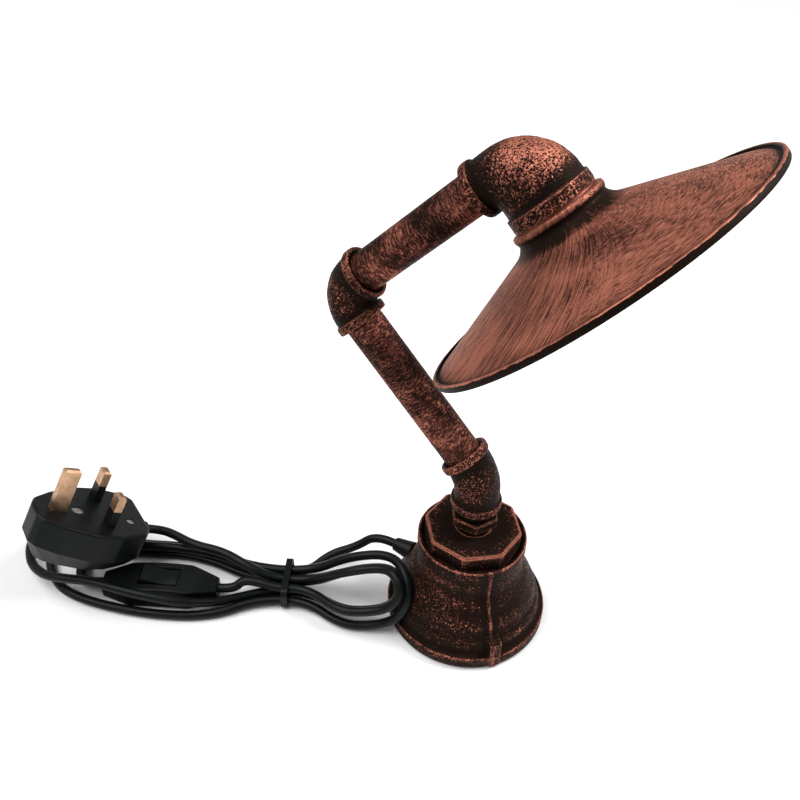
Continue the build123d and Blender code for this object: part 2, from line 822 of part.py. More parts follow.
straight = extrude(plug_plan(0), -plug_waist)
tapered = extrude(Pos(0, 0, -plug_waist) * plug_plan(0), -overrun / 2, taper=plug_taper)
bulk = straight + tapered
plug_back = below(plug_deep_back, plug_deep_cord)
plug_split = below(plug_split_back, plug_split_cord)
inner_back = below(plug_deep_back - plug_wall, plug_deep_cord - plug_wall)
bulk -= plug_back
plug_room = extrude(Pos(0, 0, -plug_roof) * plug_plan(plug_wall), plug_roof - plug_waist)
plug_room += extrude(Pos(0, 0, -plug_waist) * plug_plan(plug_wall), -overrun / 2, taper=plug_taper)
plug_room -= inner_back
pin_side = bulk - plug_split
back_cover = bulk & plug_split
pin_side = fillet(pin_side.faces().sort_by(Axis.Z)[-1].edges(), plug_edge)
back_cover = fillet(back_cover.faces().sort_by(Axis.Z)[0].edges(), plug_back_edge)
pin_side -= plug_room
back_cover -= plug_room


def pin_block(size, low, high, grow):
    """Upright pin of a plug with its flat sides grown by a little."""
    half_u = size[0] / 2 + grow
    half_v = size[1] / 2 + grow
    return block((-half_u, -half_v, low), (half_u, half_v, high))


def pin_solid(size):
    """Plug pin with bevelled tip and a root inside the plug."""
    pin = pin_block(size, -pin_root, size[2], 0)
    return chamfer(pin.faces().sort_by(Axis.Z)[-1].edges(), pin_tip_chamfer)


line_spot = Pos(live_u, -live_v, 0)
neutral_spot = Pos(live_u, live_v, 0)
pin_side -= pin_block(earth_pin, -overrun, overrun, fit_gap)
save("earth_pin", plug_frame * pin_solid(earth_pin))
sleeve = pin_block(live_pin, 0, sleeve_length, 0) - pin_block(live_pin, 0, sleeve_length, -sleeve_wall)
live = pin_solid(live_pin) - pin_block(live_pin, 0, sleeve_length, 0)
live += pin_block(live_pin, 0, sleeve_length, -sleeve_wall)
for spot in (line_spot, neutral_spot):
    pin_side -= spot * pin_block(live_pin, -overrun, overrun, fit_gap)
save("line_pin", plug_frame * line_spot * live)
save("neutral_pin", plug_frame * neutral_spot * live)
save("pin_sleeves", Compound(children=[plug_frame * line_spot * sleeve, plug_frame * neutral_spot * sleeve]))


def slotted(head_radius, shank_radius, length):
    """Slotted screw whose head lies just under the face of the plug."""
    screw = post(head_radius, -screw_sink - screw_head_thick, -screw_sink)
    screw += post(shank_radius, -length, -screw_sink - screw_head_thick)
    half_slot = slot_width / 2
    return screw - block((-overrun, -half_slot, -screw_sink - slot_depth), (overrun, half_slot, 0))


def screw_hole(head_radius, shank_radius, length):
    """Stepped hole for a slotted screw."""
    hole_top = post(head_radius + fit_gap, -screw_sink - screw_head_thick, overrun)
    return hole_top + post(shank_radius + fit_gap, -length, 0)


cover_spot = Pos(cover_screw_u, 0, 0)
boss_end = plug_deep_back / 2
back_boss = cover_spot * post(cover_screw_radius + plug_wall, -plug_deep_back, 0)
pin_side += back_boss & plug_room - plug_split
back_cover += back_boss & plug_room & plug_split
cover_hole = cover_spot * screw_hole(cover_screw_radius, cover_screw_shank, boss_end)
pin_side -= cover_hole
back_cover -= cover_hole
cover_screw = slotted(cover_screw_radius, cover_screw_shank, boss_end - fit_gap)
save("plug_screw", plug_frame * cover_spot * cover_screw)

grip_end = plug_roof + grip_thick
grip_screws = []
grip = block(
    (grip_screw_u - grip_length / 2, -grip_half_width, -grip_end),
    (grip_screw_u + grip_length / 2, grip_half_width, -plug_roof),
)
for side in (-1, 1):
    spot = Pos(grip_screw_u, side * grip_screw_v, 0)
    grip_hole = spot * screw_hole(grip_screw_radius, grip_screw_shank, grip_end)
    pin_side -= grip_hole
    grip -= grip_hole
    grip_screws.append(plug_frame * spot * slotted(grip_screw_radius, grip_screw_shank, grip_end))
back_cover -= block(
    (grip_screw_u - grip_length, -grip_half_width - fit_gap, -grip_end - fit_gap),
    (grip_screw_u + grip_length, grip_half_width + fit_gap, 0),
)
save("grip_screws", Compound(children=grip_screws))
save("cord_grip", plug_frame * grip)

fuse_line = Pos(0, -fuse_v, -fuse_drop)
fuse_end = fuse_u + fuse_length
fuse = fuse_line * rod((fuse_u, 0, 0), (fuse_end, 0, 0), fuse_radius)
fuse_room = fuse_line * rod((fuse_u - fit_gap, 0, 0), (fuse_end + fit_gap, 0, 0), fuse_radius + fit_gap)
clips = []
for start in (fuse_u, fuse_end - clip_length):
    clip = block(
        (start, -fuse_v - clip_half_width, -clip_drop),
        (start + clip_length, -fuse_v + clip_half_width, -plug_roof),
    )
    clips.append(plug_frame * (clip - fuse_room))
save("fuse", plug_frame * fuse)
save("fuse_clips", Compound(children=clips))

boot_start = plug_end_u - plug_wall
boot = rod((boot_start, 0, -boot_drop), (plug_end_u + boot_length, 0, -boot_drop), boot_radius)
boot = fillet(boot.edges().filter_by(GeomType.CIRCLE).sort_by(Axis.X)[-1], boot_edge)
boot_room = rod((0, 0, -boot_drop), (overrun + overrun, 0, -boot_drop), boot_radius + fit_gap)
boot_room &= block((boot_start - fit_gap, -overrun, -overrun), (overrun + overrun, overrun, 0))
pin_side -= boot_room
back_cover -= boot_room
save("plug_cord_sleeve", plug_frame * boot)
save("plug_base", plug_frame * pin_side)
save("plug_cover", plug_frame * back_cover)

# Cords: one from the gland through the hank to the switch, one from the switch to the plug
floor = cord_radius + floor_gap
waist = floor + tie_thick + tie_gap


def station(along, across, height, way_along, way_across, way_up):
    """Point on a cord and the way it runs there, in the hank's own frame."""
    way = hank.x_dir * way_along + hank.y_dir * way_across + Vector(0, 0, way_up)
    return hank.from_local_coords(Vector(along, across, height)), way.normalized()


def at_waist(strand):
    """Strand where it passes through the tie; odd strands run left, even ones right."""
    height = waist + waist_layers[strand] * layer_step
    run = 1 - 2 * (strand % 2)
    return station(0, waist_rows_share[strand] * strand_pitch, height, run, 0, 0)


def left_back(inset, layer):
    """Widest point at the back of a left loop."""
    return station(left_wide_at, inset * strand_pitch - left_half, floor + layer * layer_step, 1, 0, 0)


def left_end(loop):
    """Far end of a left loop."""
    return station(left_tips[loop], left_tip_across, left_tip_heights[loop], *left_tip_way_share)


def right_loop(inset, layer):
    """Front, end and back of a right loop, which stands twisted against the base."""
    climb = math.radians(right_twist)
    rows = Vector(0, -math.cos(climb), math.sin(climb)) * right_pitch
    layers = Vector(0, math.sin(climb), math.cos(climb)) * right_layer_step
    front = Vector(*right_front) + rows * inset + layers * layer
    end = Vector(*right_tip) + Vector(*right_tip_step) * inset + layers * layer
    back = Vector(*right_back) - rows * inset + layers * layer
    return [
        station(*front, *right_front_way_share),
        station(*end, *rows),
        station(*back, *right_back_way_share),
    ]


def arc(start, control, end):
    """Round stretch between two points with its tangents meeting at the control point."""
    first = (control - start).normalized()
    last = (end - control).normalized()
    turn = math.acos(max(-1, min(1, first.dot(last))))
    if turn < math.radians(arc_least_turn):
        return Line(start, end)
    reach = (end - start).length
    radii.append(reach / 2 / math.sin(turn / 2))
    middle = (start + end) * 0.5
    rise = math.cos(turn / 2) / (1 + math.cos(turn / 2))
    return ThreePointArc(start, middle + (control - middle) * rise, end)


def two_arcs(start, end):
    """Pair of arcs that joins two stations smoothly."""
    span = end[0] - start[0]
    ways = start[1] + end[1]
    square = 2 * start[1].dot(end[1]) - 2
    half_line = span.dot(ways)
    if abs(square) < math.radians(arc_least_turn) ** 2:
        reach = span.dot(span) / (2 * half_line)
    else:
        reach = (half_line - math.sqrt(half_line ** 2 - square * span.dot(span))) / square
        if reach < 0:
            reach = (half_line + math.sqrt(half_line ** 2 - square * span.dot(span))) / square
    first = start[0] + start[1] * reach
    last = end[0] - end[1] * reach
    join = (first + last) * 0.5
    return [arc(start[0], first, join), arc(join, last, end[0])]


radii = []
cord_diameter = 2 * cord_radius


def cord(first, stations, last):
    """Tube through the stations, straight for one diameter at both ends."""
    lead_in = (first[0] + first[1] * cord_diameter, first[1])
    lead_out = (last[0] - last[1] * cord_diameter, last[1])
    stops = [lead_in] + stations + [lead_out]
    edges = [Line(first[0], lead_in[0])]
    for here, there in zip(stops, stops[1:]):
        edges += two_arcs(here, there)
    edges.append(Line(lead_out[0], last[0]))
    path = Wire(edges)
    tube = sweep(Plane(origin=first[0], z_dir=first[1]) * Circle(cord_radius), path=path)
    return tube, edges


gland_start = (Vector(-gland_tip, 0, gland_height), Vector(-1, 0, 0))
switch_line = switch_lift + switch_split
switch_left_end = station(switch_right + switch_length, switch_across, switch_line, -1, 0, 0)
switch_right_end = station(switch_right, switch_across, switch_line, -1, 0, 0)
lamp_stations = [
    station(*gland_lead, *gland_lead_way_share),
    at_waist(0),
    left_back(0, 0),
    left_end(0),
    station(left_front_at, left_front_across, floor, -1, 0, 0),
    at_waist(1),
    *right_loop(0, 0),
    at_waist(2),
    left_back(1, 1),
    left_end(1),
    station(*over_switch, *over_switch_way_share),
    station(*drape, *drape_way_share),
    station(*tuck, *tuck_way_share),
    at_waist(3),
    *right_loop(1, 0),
    at_waist(4),
    left_back(1, 0),
    station(*turn_back, floor, 0, 1, 0),
]
lamp_cord, lamp_edges = cord(gland_start, lamp_stations, switch_left_end)
save("lamp_cord", lamp_cord)

nose = Location(plug_frame) * Pos(plug_end_u + boot_length, 0, -boot_drop)
plug_way = (plug_frame * Pos(-1, 0, 0)).position - Vector(*plug_root)
plug_end = (nose.position, plug_way)
plug_stations = [
    station(*rise, *rise_way_share),
    at_waist(5),
    *right_loop(1, 1),
    at_waist(6),
    station(*hump, *hump_way_share),
    station(*lead, *lead_way_share),
]
plug_cord, plug_edges = cord(switch_right_end, plug_stations, plug_end)
save("plug_cord", plug_cord)

# Tie round the waist of the hank
tie_half = max(waist_rows_share) * strand_pitch + cord_radius + tie_gap
tie_low = waist - cord_radius - tie_gap
tie_high = waist + layer_step + cord_radius + tie_gap
tie_mid = (tie_low + tie_high) / 2
tie_plane = hank.location * Pos(-tie_width / 2, 0, tie_mid) * Rot(0, 90, 0)
tie_tall = tie_high - tie_low
wrap = RectangleRounded(tie_tall + 2 * tie_thick, 2 * (tie_half + tie_thick), tie_corner + tie_thick)
wrap -= RectangleRounded(tie_tall, 2 * tie_half, tie_corner)
save("cord_tie", tie_plane * extrude(wrap, tie_width))

# Printed measures of the cords
points = []
for number, edges in enumerate((lamp_edges, plug_edges)):
    run = number * overrun * overrun
    for edge in edges:
        steps = max(2, int(edge.length / cord_radius * 2))
        for step in range(steps):
            points.append((run + edge.length * step / steps, tuple(edge @ (step / steps))))
        run += edge.length
    print(f"cord {number}: length {run - number * overrun * overrun:.0f} mm")
least = overrun
for index, (run, point) in enumerate(points):
    for other_run, other in points[index + 1 :]:
        if other_run - run > 4 * cord_diameter:
            least = min(least, math.dist(point, other))
print(f"tightest cord bend {min(radii):.1f} mm, least gap between strands {least - cord_diameter:.2f} mm")
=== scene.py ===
"""Industrial pipe lamp: swivelling pipe fittings in rubbed copper red, a bell shade, a tied cord, a switch and
a plug."""

import math

import bmesh
import bpy
import numpy as np
from mathutils import Matrix, Vector


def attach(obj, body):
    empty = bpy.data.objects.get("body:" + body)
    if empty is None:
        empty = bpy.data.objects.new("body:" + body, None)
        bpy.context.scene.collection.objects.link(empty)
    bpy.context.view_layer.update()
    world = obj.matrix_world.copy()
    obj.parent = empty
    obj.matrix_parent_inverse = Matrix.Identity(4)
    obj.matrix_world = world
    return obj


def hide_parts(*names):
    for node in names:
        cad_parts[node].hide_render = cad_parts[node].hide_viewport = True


bl_info = {
    "name": "Industrial pipe lamp",
    "version": (1, 0, 0),
    "blender": (4, 5, 0),
    "location": "View3D > Sidebar > Pipe lamp",
    "description": "Dresses the pipe lamp: rubbed copper finish, cords, switch, plug and studio",
    "category": "Object",
}

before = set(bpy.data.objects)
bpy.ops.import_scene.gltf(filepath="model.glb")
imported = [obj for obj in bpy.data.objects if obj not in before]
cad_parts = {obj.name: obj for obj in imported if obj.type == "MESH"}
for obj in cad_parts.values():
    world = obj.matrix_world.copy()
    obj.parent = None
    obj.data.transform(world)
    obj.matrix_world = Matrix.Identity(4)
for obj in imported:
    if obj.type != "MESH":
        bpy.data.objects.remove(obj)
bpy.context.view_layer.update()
MM = 0.001
FULL_TURN = 2 * math.pi
QUARTER_TURN = math.pi / 2

# The tied hank: its tie, the way its left end points, and the cords' route in that frame, in millimetres.
# Each row is a distance along the hank to the left, a distance across it to the front, and a height.
TIE_AT = (-80.4, -40.8)
HANK_ANGLE = math.radians(207.8)
LAMP_ROUTE = [
    (-53.4, -17.9, 20.0), (-43.4, -23.2, 20.0), (-33.3, -22.3, 11.2), (-19.3, -20.6, 6.3),
    (-8.2, -8.8, 3.7), (17.4, -8.8, 3.7),
    (48.6, -24.0, 2.4), (88.6, -24.0, 2.4), (114.0, -28.5, 2.5), (125.5, -28.0, 2.5), (129.0, -16.0, 2.5),
    (122.0, 0.0, 2.5), (108.0, 12.5, 2.5), (71.8, 20.5, 2.4), (36.0, 20.5, 2.4),
    (13.0, 8.8, 3.7), (-10.9, 8.8, 3.7),
    (-29.1, 21.0, 2.9), (-44.5, 21.5, 3.8), (-56.5, 22.5, 11.0), (-62.0, 20.5, 22.5), (-60.3, 11.5, 32.0),
    (-51.8, -2.0, 30.4), (-30.5, -4.0, 24.1),
    (-11.9, -5.9, 9.3), (17.1, -5.9, 9.3),
    (48.9, -18.1, 8.0), (93.6, -18.1, 8.0), (120.0, -28.0, 7.5), (133.0, -29.5, 7.4), (139.0, -18.0, 7.4),
    (133.0, -3.0, 7.8), (123.0, 5.5, 9.4), (112.0, 9.5, 12.4), (96.0, 11.8, 14.4), (76.1, 17.1, 14.4),
    (64.0, 18.7, 13.4), (49.1, 19.4, 11.2), (33.5, 13.3, 4.8), (19.5, 6.5, 3.1), (6.7, 2.9, 3.7),
    (-11.2, 2.9, 3.7),
    (-28.9, 15.9, 7.7), (-41.5, 16.2, 8.4), (-52.5, 17.0, 13.4), (-58.0, 15.2, 21.2), (-56.2, 8.4, 27.4),
    (-48.5, 1.8, 25.0), (-30.2, 1.1, 19.3),
    (-12.1, -3.0, 3.7), (17.4, -3.0, 3.7),
    (48.6, -18.1, 2.4), (80.0, -18.1, 2.4), (101.0, -18.6, 2.4), (109.5, -9.5, 2.4), (106.5, 1.5, 3.6),
    (100.5, 6.0, 6.3), (92.0, 6.0, 6.8),
]
PLUG_ROUTE = [
    (34.0, 6.0, 6.8), (26.2, 6.0, 6.8), (21.7, 3.1, 10.5), (13.8, 3.9, 10.7), (4.7, 5.9, 9.3),
    (-11.6, 5.9, 9.3),
    (-28.4, 21.3, 13.5), (-41.5, 21.6, 14.2), (-52.5, 22.6, 19.2), (-58.0, 20.8, 27.2), (-55.6, 14.4, 33.4),
    (-48.5, 7.2, 30.8), (-30.0, 6.6, 25.1),
    (-12.3, 0.0, 9.3), (7.4, 0.0, 9.3), (20.7, -2.7, 15.0), (34.3, -10.9, 15.0), (50.7, -14.7, 14.6),
    (62.5, -22.0, 13.5), (71.0, -26.2, 12.0), (77.3, -22.8, 16.0),
]

# The switch's rocker, in millimetres: its pivot, its tilt at rest, half its length and width, and its foot below
# the pivot. The dish of its top is a height above the pivot in the middle and a rise to each end.
ROCKER_AT = (-133.33, -75.49, 11.2)
ROCKER_TILT = math.radians(11.0)
ROCKER_HALF_LENGTH = 9.0
ROCKER_HALF_WIDTH = 4.7
ROCKER_FOOT = -1.0
ROCKER_DISH = (2.9, 1.3)
ROCKER_ROUND = 0.45
SHARP_ANGLE = math.radians(40)

# Ways of the lower and the upper pipe, and of the shade with a way square to it.
LOWER_WAY = (-0.70711, 0, 0.70711)
UPPER_WAY = (0.69461, 0.18720, 0.69461)
SHADE_WAY = (0.70711, 0, -0.70711)
SHADE_SIDE = (0.70711, 0, 0.70711)

# From here on, lengths of shapes are in millimetres. An outline is closed, and each of its rows is a distance along
# the centre line and a radius. A rounding has one value for each corner, and a step is the widest space of rows.

# Elbows: outline, centre line as start, corner, end and radius of the bend, and the runs where the body lies.
ELBOW_45_OUTLINE = [
    (0, 10.3), (0, 11.6), (3.8, 11.6), (3.8, 10.4), (24.46, 10.4), (24.46, 11.6), (28.26, 11.6), (28.26, 10.3),
    (25.86, 8.8), (19.26, 8.8), (19.26, 6.8), (8.6, 6.8), (8.6, 8.8), (2.4, 8.8),
]
ELBOW_45_LINE = ((0, 0, 72.45), (0, 0, 89.05), (-9.475, 0, 98.525), 22.5)
ELBOW_45_BODY = (3.8, 24.46)
ELBOW_90_OUTLINE = [
    (0, 10.3), (0, 11.6), (3.8, 11.6), (3.8, 10.4), (23.52, 10.4), (23.52, 11.6), (27.32, 11.6), (27.32, 10.3),
    (24.92, 8.8), (20.32, 8.8), (20.32, 6.8), (7.0, 6.8), (7.0, 8.8), (2.4, 8.8),
]
ELBOW_90_LINE = ((-60.07, 0, 149.12), (-71.61, 0, 160.66), (-60.274, 3.055, 171.996), 12.4)
ELBOW_90_BODY = (3.8, 23.52)
ELBOW_ROUNDING = (0.3, 1.1, 1.1, 1.0, 1.0, 1.1, 1.1, 0.3, 0.3, 0.2, 0.2, 0.2, 0.2, 0.3)
ELBOW_STEP = 1.0
ELBOW_LUMPS = 0.08
FITTING_BORE = 9.0
ROUND_STEPS = 96

# Head: outline, the radius that its sections are drawn from, the length of its neck and of its bend, and its corner.
HEAD_OUTLINE = [
    (0, 10.3), (0, 11.6), (3.8, 11.6), (3.8, 10.4), (39.8, 10.4), (39.8, 11.1), (45.3, 11.1), (45.3, 8.7),
    (38.5, 8.7), (34.0, 7.4), (8.6, 7.4), (8.6, 8.8), (2.4, 8.8),
]
HEAD_ROUNDING = (0.3, 1.0, 1.0, 0.9, 0.7, 0.6, 0.6, 0.3, 0.3, 1.0, 0.2, 0.2, 0.3)
HEAD_STEP = 0.6
HEAD_LUMPS = 0.05
HEAD_ROUND_STEPS = 128
HEAD_SKIN = 10.4
HEAD_NECK = 3.8
HEAD_BEND = 36.0
HEAD_CORNER = (-4.512, 18.084, 227.759)
# Start of the bend before the corner. The back runs straight, turns between two shares of the bend, and drops; the
# throat turns up to a share of the bend, and drops. The widening is sideways.
HEAD_START = -17.2
BACK_STRAIGHT = 8.2
BACK_RADIUS = 25.0
BACK_TURN = (0.17, 0.98)
BACK_DROP = 0.9
THROAT_RADIUS = 1.2
THROAT_TURN = 0.6
THROAT_DROP = 3.9
HEAD_WIDENING = 5.6

# Pipes: outside and inside radius, and each one's start, way and length.
PIPE_OUTSIDE = 8.6
PIPE_INSIDE = 6.2
PIPE_ROUNDING = 0.4
PIPE_STEP = 2.0
PIPE_LUMPS = 0.03
PIPE_BORE = 8.0
LOWER_PIPE = ((-3.11, 0, 92.16), LOWER_WAY, 87.5)
UPPER_PIPE = ((-65.136, 1.745, 167.134), UPPER_WAY, 74.7)

# Bell: outline, and its bore as runs and radii.
BELL_OUTLINE = [
    (1.5, 33.0), (1.5, 39.0), (7.4, 39.0), (8.0, 36.4), (15.5, 35.0), (16.8, 33.8), (23.3, 31.5), (29.5, 28.0),
    (33.5, 25.2), (46.0, 25.2), (46.6, 25.6), (52.0, 25.6), (52.0, 23.6), (48.1, 23.6), (48.1, 21.1),
    (33.5, 21.1), (10.0, 33.0),
]
BELL_ROUNDING = (0.3, 1.0, 1.1, 1.4, 1.2, 1.2, 3.5, 3.0, 3.0, 0.8, 0.8, 0.9, 0.8, 0.3, 0.3, 0.3, 0.3)
BELL_STEP = 0.7
BELL_BORE = ((10.0, 33.5, 48.0, 48.2), (33.0, 21.1, 21.1, 23.6))
BELL_LUMPS = 0.1
RING_HEIGHT = 0.3
# Seam of the bell: its angle, its rib's height and half width, and its tab's radius, middle, half width and top.
SEAM_ANGLE = math.radians(-44.0)
RIB_HEIGHT = 0.95
RIB_HALF_WIDTH = 0.8
TAB_RADIUS = 39.5
TAB_MIDDLE = 0.9
TAB_HALF_WIDTH = 2.7
TAB_TOP = 16.8
# Angles round the bell: close ones on both sides of the seam, wide ones on the rest; each a reach and a count.
SEAM_FINE = (0.16, 81)
SEAM_REST = (0.18, 200)

# Shade: outline, and the middle of its wall as radii and runs.
SHADE_OUTLINE = [
    (21.6, 13.15), (21.6, 18.2), (22.2, 19.0), (23.8, 19.1), (25.7, 18.1), (28.9, 20.7), (30.6, 25.0),
    (47.87, 71.4), (46.7, 71.4), (46.7, 73.1), (49.7, 73.1), (49.7, 71.4), (48.77, 71.4), (31.5, 24.55),
    (29.8, 19.9), (26.4, 17.2), (24.0, 18.1), (22.6, 17.7), (22.5, 13.15),
]
SHADE_ROUNDING = (
    0.2, 0.6, 0.6, 0.8, 1.3, 2.2, 3.0, 0.3, 0.4, 0.7, 0.9, 0.6, 0.4, 3.0, 1.5, 1.0, 1.0, 0.6, 0.2,
)
SHADE_STEP = 1.6
SHADE_ROUND_STEPS = 432
SHADE_SWIRL = 0.009
SHADE_WALL = ((13.0, 17.0, 18.0, 20.3, 24.8, 71.4), (22.0, 24.5, 26.2, 29.4, 31.0, 48.3))

# Values of the rubbed copper on each piece; widths and depths are in metres. The castings' covers are lower than
# the pipes' and the shade's, and lowest on the bush and the nipple, so that the lower pieces come out darker:
# partly their own darker finish, partly painted shade, as less light falls low on the lamp.
CAST_SPECKS = {"Speck Scale": 1350.0, "Strokes": 0.0, "Softness": 0.06}
CASTING_RUB = {**CAST_SPECKS, "Cover": 0.375, "Blotches": 0.25, "Edge Width": 0.0009, "Edge Wear": 0.6,
               "Recess Depth": 0.007, "Recess": 0.5}
BUSH_RUB = {**CAST_SPECKS, "Cover": 0.35, "Blotches": 0.25, "Edge Width": 0.0017, "Edge Wear": 0.75,
            "Recess Depth": 0.006, "Recess": 0.7}
NIPPLE_RUB = {**CAST_SPECKS, "Cover": 0.33, "Blotches": 0.3, "Edge Width": 0.0008, "Edge Wear": 0.45,
              "Recess Depth": 0.006, "Recess": 0.6}
PIPE_RUB = {"Speck Scale": 1500.0, "Strokes": 0.6, "Cover": 0.435, "Softness": 0.12, "Blotches": 0.45,
            "Edge Wear": 0.2, "Recess": 0.3}
BELL_RUB = {"Speck Scale": 1350.0, "Strokes": 0.1, "Cover": 0.375, "Softness": 0.055, "Blotches": 0.2,
            "Edge Width": 0.001, "Edge Wear": 0.5, "Recess Depth": 0.008, "Recess": 0.7}
SHADE_RUB = {"Speck Scale": 1700.0, "Strokes": 0.8, "Cover": 0.505, "Softness": 0.062, "Blotches": 0.2,
             "Edge Width": 0.0008, "Edge Wear": 0.25, "Recess Depth": 0.007, "Recess": 0.75}
# Painted shade round the bush's middle, black on its top round the hex nipple, where the nipple and the elbow
# above shade it: the radius up to which it is whole, the radius where it ends, and its share.
BUSH_PAINTED_SHADE = (0.0105, 0.018, -0.14)
# Cosines between a face and its rounded edge, from no edge to a full one, and openness from none to a full recess.
EDGE_TURN = (0.995, 0.88)
RECESS_SHUT = (0.95, 0.55)
COAT_GLOSS = 0.05
PLASTIC_GLOSS = 0.16
DUST_LIGHT = 0.025
TARNISH = 0.62

# Colours of the small pieces that have no value of their own in the panel.
BASE_RUBBER = (0.03, 0.03, 0.03)
CONTACT_BRASS = (0.6, 0.42, 0.18)
BRIGHT_STEEL = (0.72, 0.72, 0.72)
FUSE_CERAMIC = (0.7, 0.64, 0.55)

# CAD nodes that keep their shape, by finish, and those that go with the switch and the plug.
MOULDED_NODES = ["cable_gland", "gland_nut", "lampholder_cap", "lampholder_body", "switch_base", "switch_cover",
                 "cord_grip", "plug_base", "plug_cover", "plug_cord_sleeve", "pin_sleeves", "cord_tie"]
INNER_FLEX_NODES = ["flex_in_base", "flex_lower", "flex_upper", "flex_head"]
PIN_NODES = ["earth_pin", "line_pin", "neutral_pin"]
CONTACT_NODES = ["earth_tag", "screw_shell", "centre_contact", "holder_terminals", "switch_contacts",
                 "switch_terminals", "fuse_clips"]
STEEL_NODES = ["earth_screw", "holder_nipple", "switch_screws", "plug_screw", "grip_screws"]
SWITCH_NODES = ["switch_base", "switch_cover", "switch_screws", "switch_contacts", "switch_terminals"]
PLUG_NODES = ["plug_base", "plug_cover", "earth_pin", "line_pin", "neutral_pin", "pin_sleeves", "plug_screw",
              "grip_screws", "cord_grip", "fuse", "fuse_clips", "plug_cord_sleeve"]

# Studio, in metres: half the floor's side, place and aim of the two lights, and the camera's place and angles.
FLOOR_REACH = 6.0
KEY_PLACE, KEY_AIM = (-0.45, -0.35, 1.2), (0.0, 0.0, 0.1)
KEY_SPREAD = math.radians(55)
SIDE_PLACE, SIDE_AIM = (0.45, 0.35, 0.75), (0.0, 0.0, 0.2)
SIDE_SIZE = 0.35
CAMERA_AT = (0.10293, -0.25521, 0.34743)
CAMERA_AZIMUTH = math.radians(29.46)
CAMERA_ELEVATION = math.radians(38.52)
CAMERA_ROLL = math.radians(1.75)


def ramp(value, zero_at, one_at):
    """Straight line from 0 at one value to 1 at another, flat outside them."""
    return np.clip((value - zero_at) / (one_at - zero_at), 0, 1)


def hump(value, middle, reach, power=2):
    """Smooth hump of height 1: e to the minus power of the distance from the middle over the reach."""
    return np.exp(-((value - middle) / reach) ** power)


def fall(value, middle, slope):
    """Smooth step from 1 down to 0 at the middle: one over one plus e to the slope times the distance past it."""
    return 1 / (1 + np.exp(np.clip((value - middle) * slope, -60, 60)))


def lumps(run, angle, amount):
    """Uneven skin of a casting: four crossed waves along the run and round the piece, added up."""
    waves = np.sin(0.55 * run + 3 * angle + 1.0) + np.sin(0.9 * run - 5 * angle + 2.2)
    waves = waves + 0.7 * np.sin(1.7 * run + 8 * angle) + 0.5 * np.sin(2.6 * run - 13 * angle + 0.7)
    return amount * waves / 2


def uneven(bore, amount):
    """Swell that adds lumps to the outside of a piece and leaves what lies within the bore's radius as it is."""
    return lambda run, radius, angle: radius + np.where(radius > bore, lumps(run, angle, amount), 0)


def from_seam(radius, angle):
    """Distance round the bell from its seam."""
    return np.angle(np.exp(1j * (angle - SEAM_ANGLE))) * radius


def bell_rings(run, angle):
    """Soft wavy rings round the bell's body, from -1 to 1: a sine of the run, which sways slowly round the bell and
    is weaker in patches."""
    body = ramp(run, 9, 13) * ramp(run, 46, 42)
    patches = 0.6 + 0.4 * np.sin(3 * angle + 0.12 * run + 1.0)
    sway = 0.9 * np.sin(2 * angle + 0.6) + 0.5 * np.sin(5 * angle)
    return np.sin(0.66 * run + sway) * body * patches


def bell_swell(run, radius, angle):
    """Radius of the cast bell: uneven skin, soft rings round the body, the seam's rib and the tab at its foot. The
    rib is a narrow hump across the seam; the tab lifts the radius to its own within its width and height."""
    bore = np.interp(run, *BELL_BORE)
    skin = ramp(radius, bore + 0.3, bore + 0.8)
    across = from_seam(radius, angle)
    rib = RIB_HEIGHT * hump(across, 0, RIB_HALF_WIDTH, 6) * ramp(run, 51.5, 49.5)
    swollen = radius + skin * (RING_HEIGHT * bell_rings(run, angle) + lumps(run, angle, BELL_LUMPS) + rib)
    tab = fall(np.abs(across - TAB_MIDDLE), TAB_HALF_WIDTH, 12) * fall(run, TAB_TOP, 5)
    return swollen + skin * tab * np.maximum(TAB_RADIUS - swollen, 0)


def bell_paint_and_shade(run, radius, angle):
    """Share of copper on the bell: more on the rings, the seam's crest and the two rims; black above the foot and in
    the mouth; and painted shade, black, beside the seam, where the seam's rib shades the bell."""
    across = np.abs(from_seam(radius, angle))
    crest = hump(across, 0, 0.6)
    # Painted shade: black on both sides of the seam's rib, where the rib shades the bell.
    beside = hump(across, 2.4, 1.5) * ramp(run, 17, 19)
    rims = hump(run, 51.7, 0.5) * (radius > 24.6) + hump(run, 7.1, 0.5) * (radius > 38)
    above_foot = hump(run, 9.2, 1.6) * (radius < 37.5)
    mouth = (radius < 24.7) * ramp(run, 40, 44)
    more = 0.045 * bell_rings(run, angle) + 0.11 * np.minimum(rims, 1) + 0.07 * crest
    return more - 0.08 * above_foot - 0.3 * mouth - 0.13 * beside


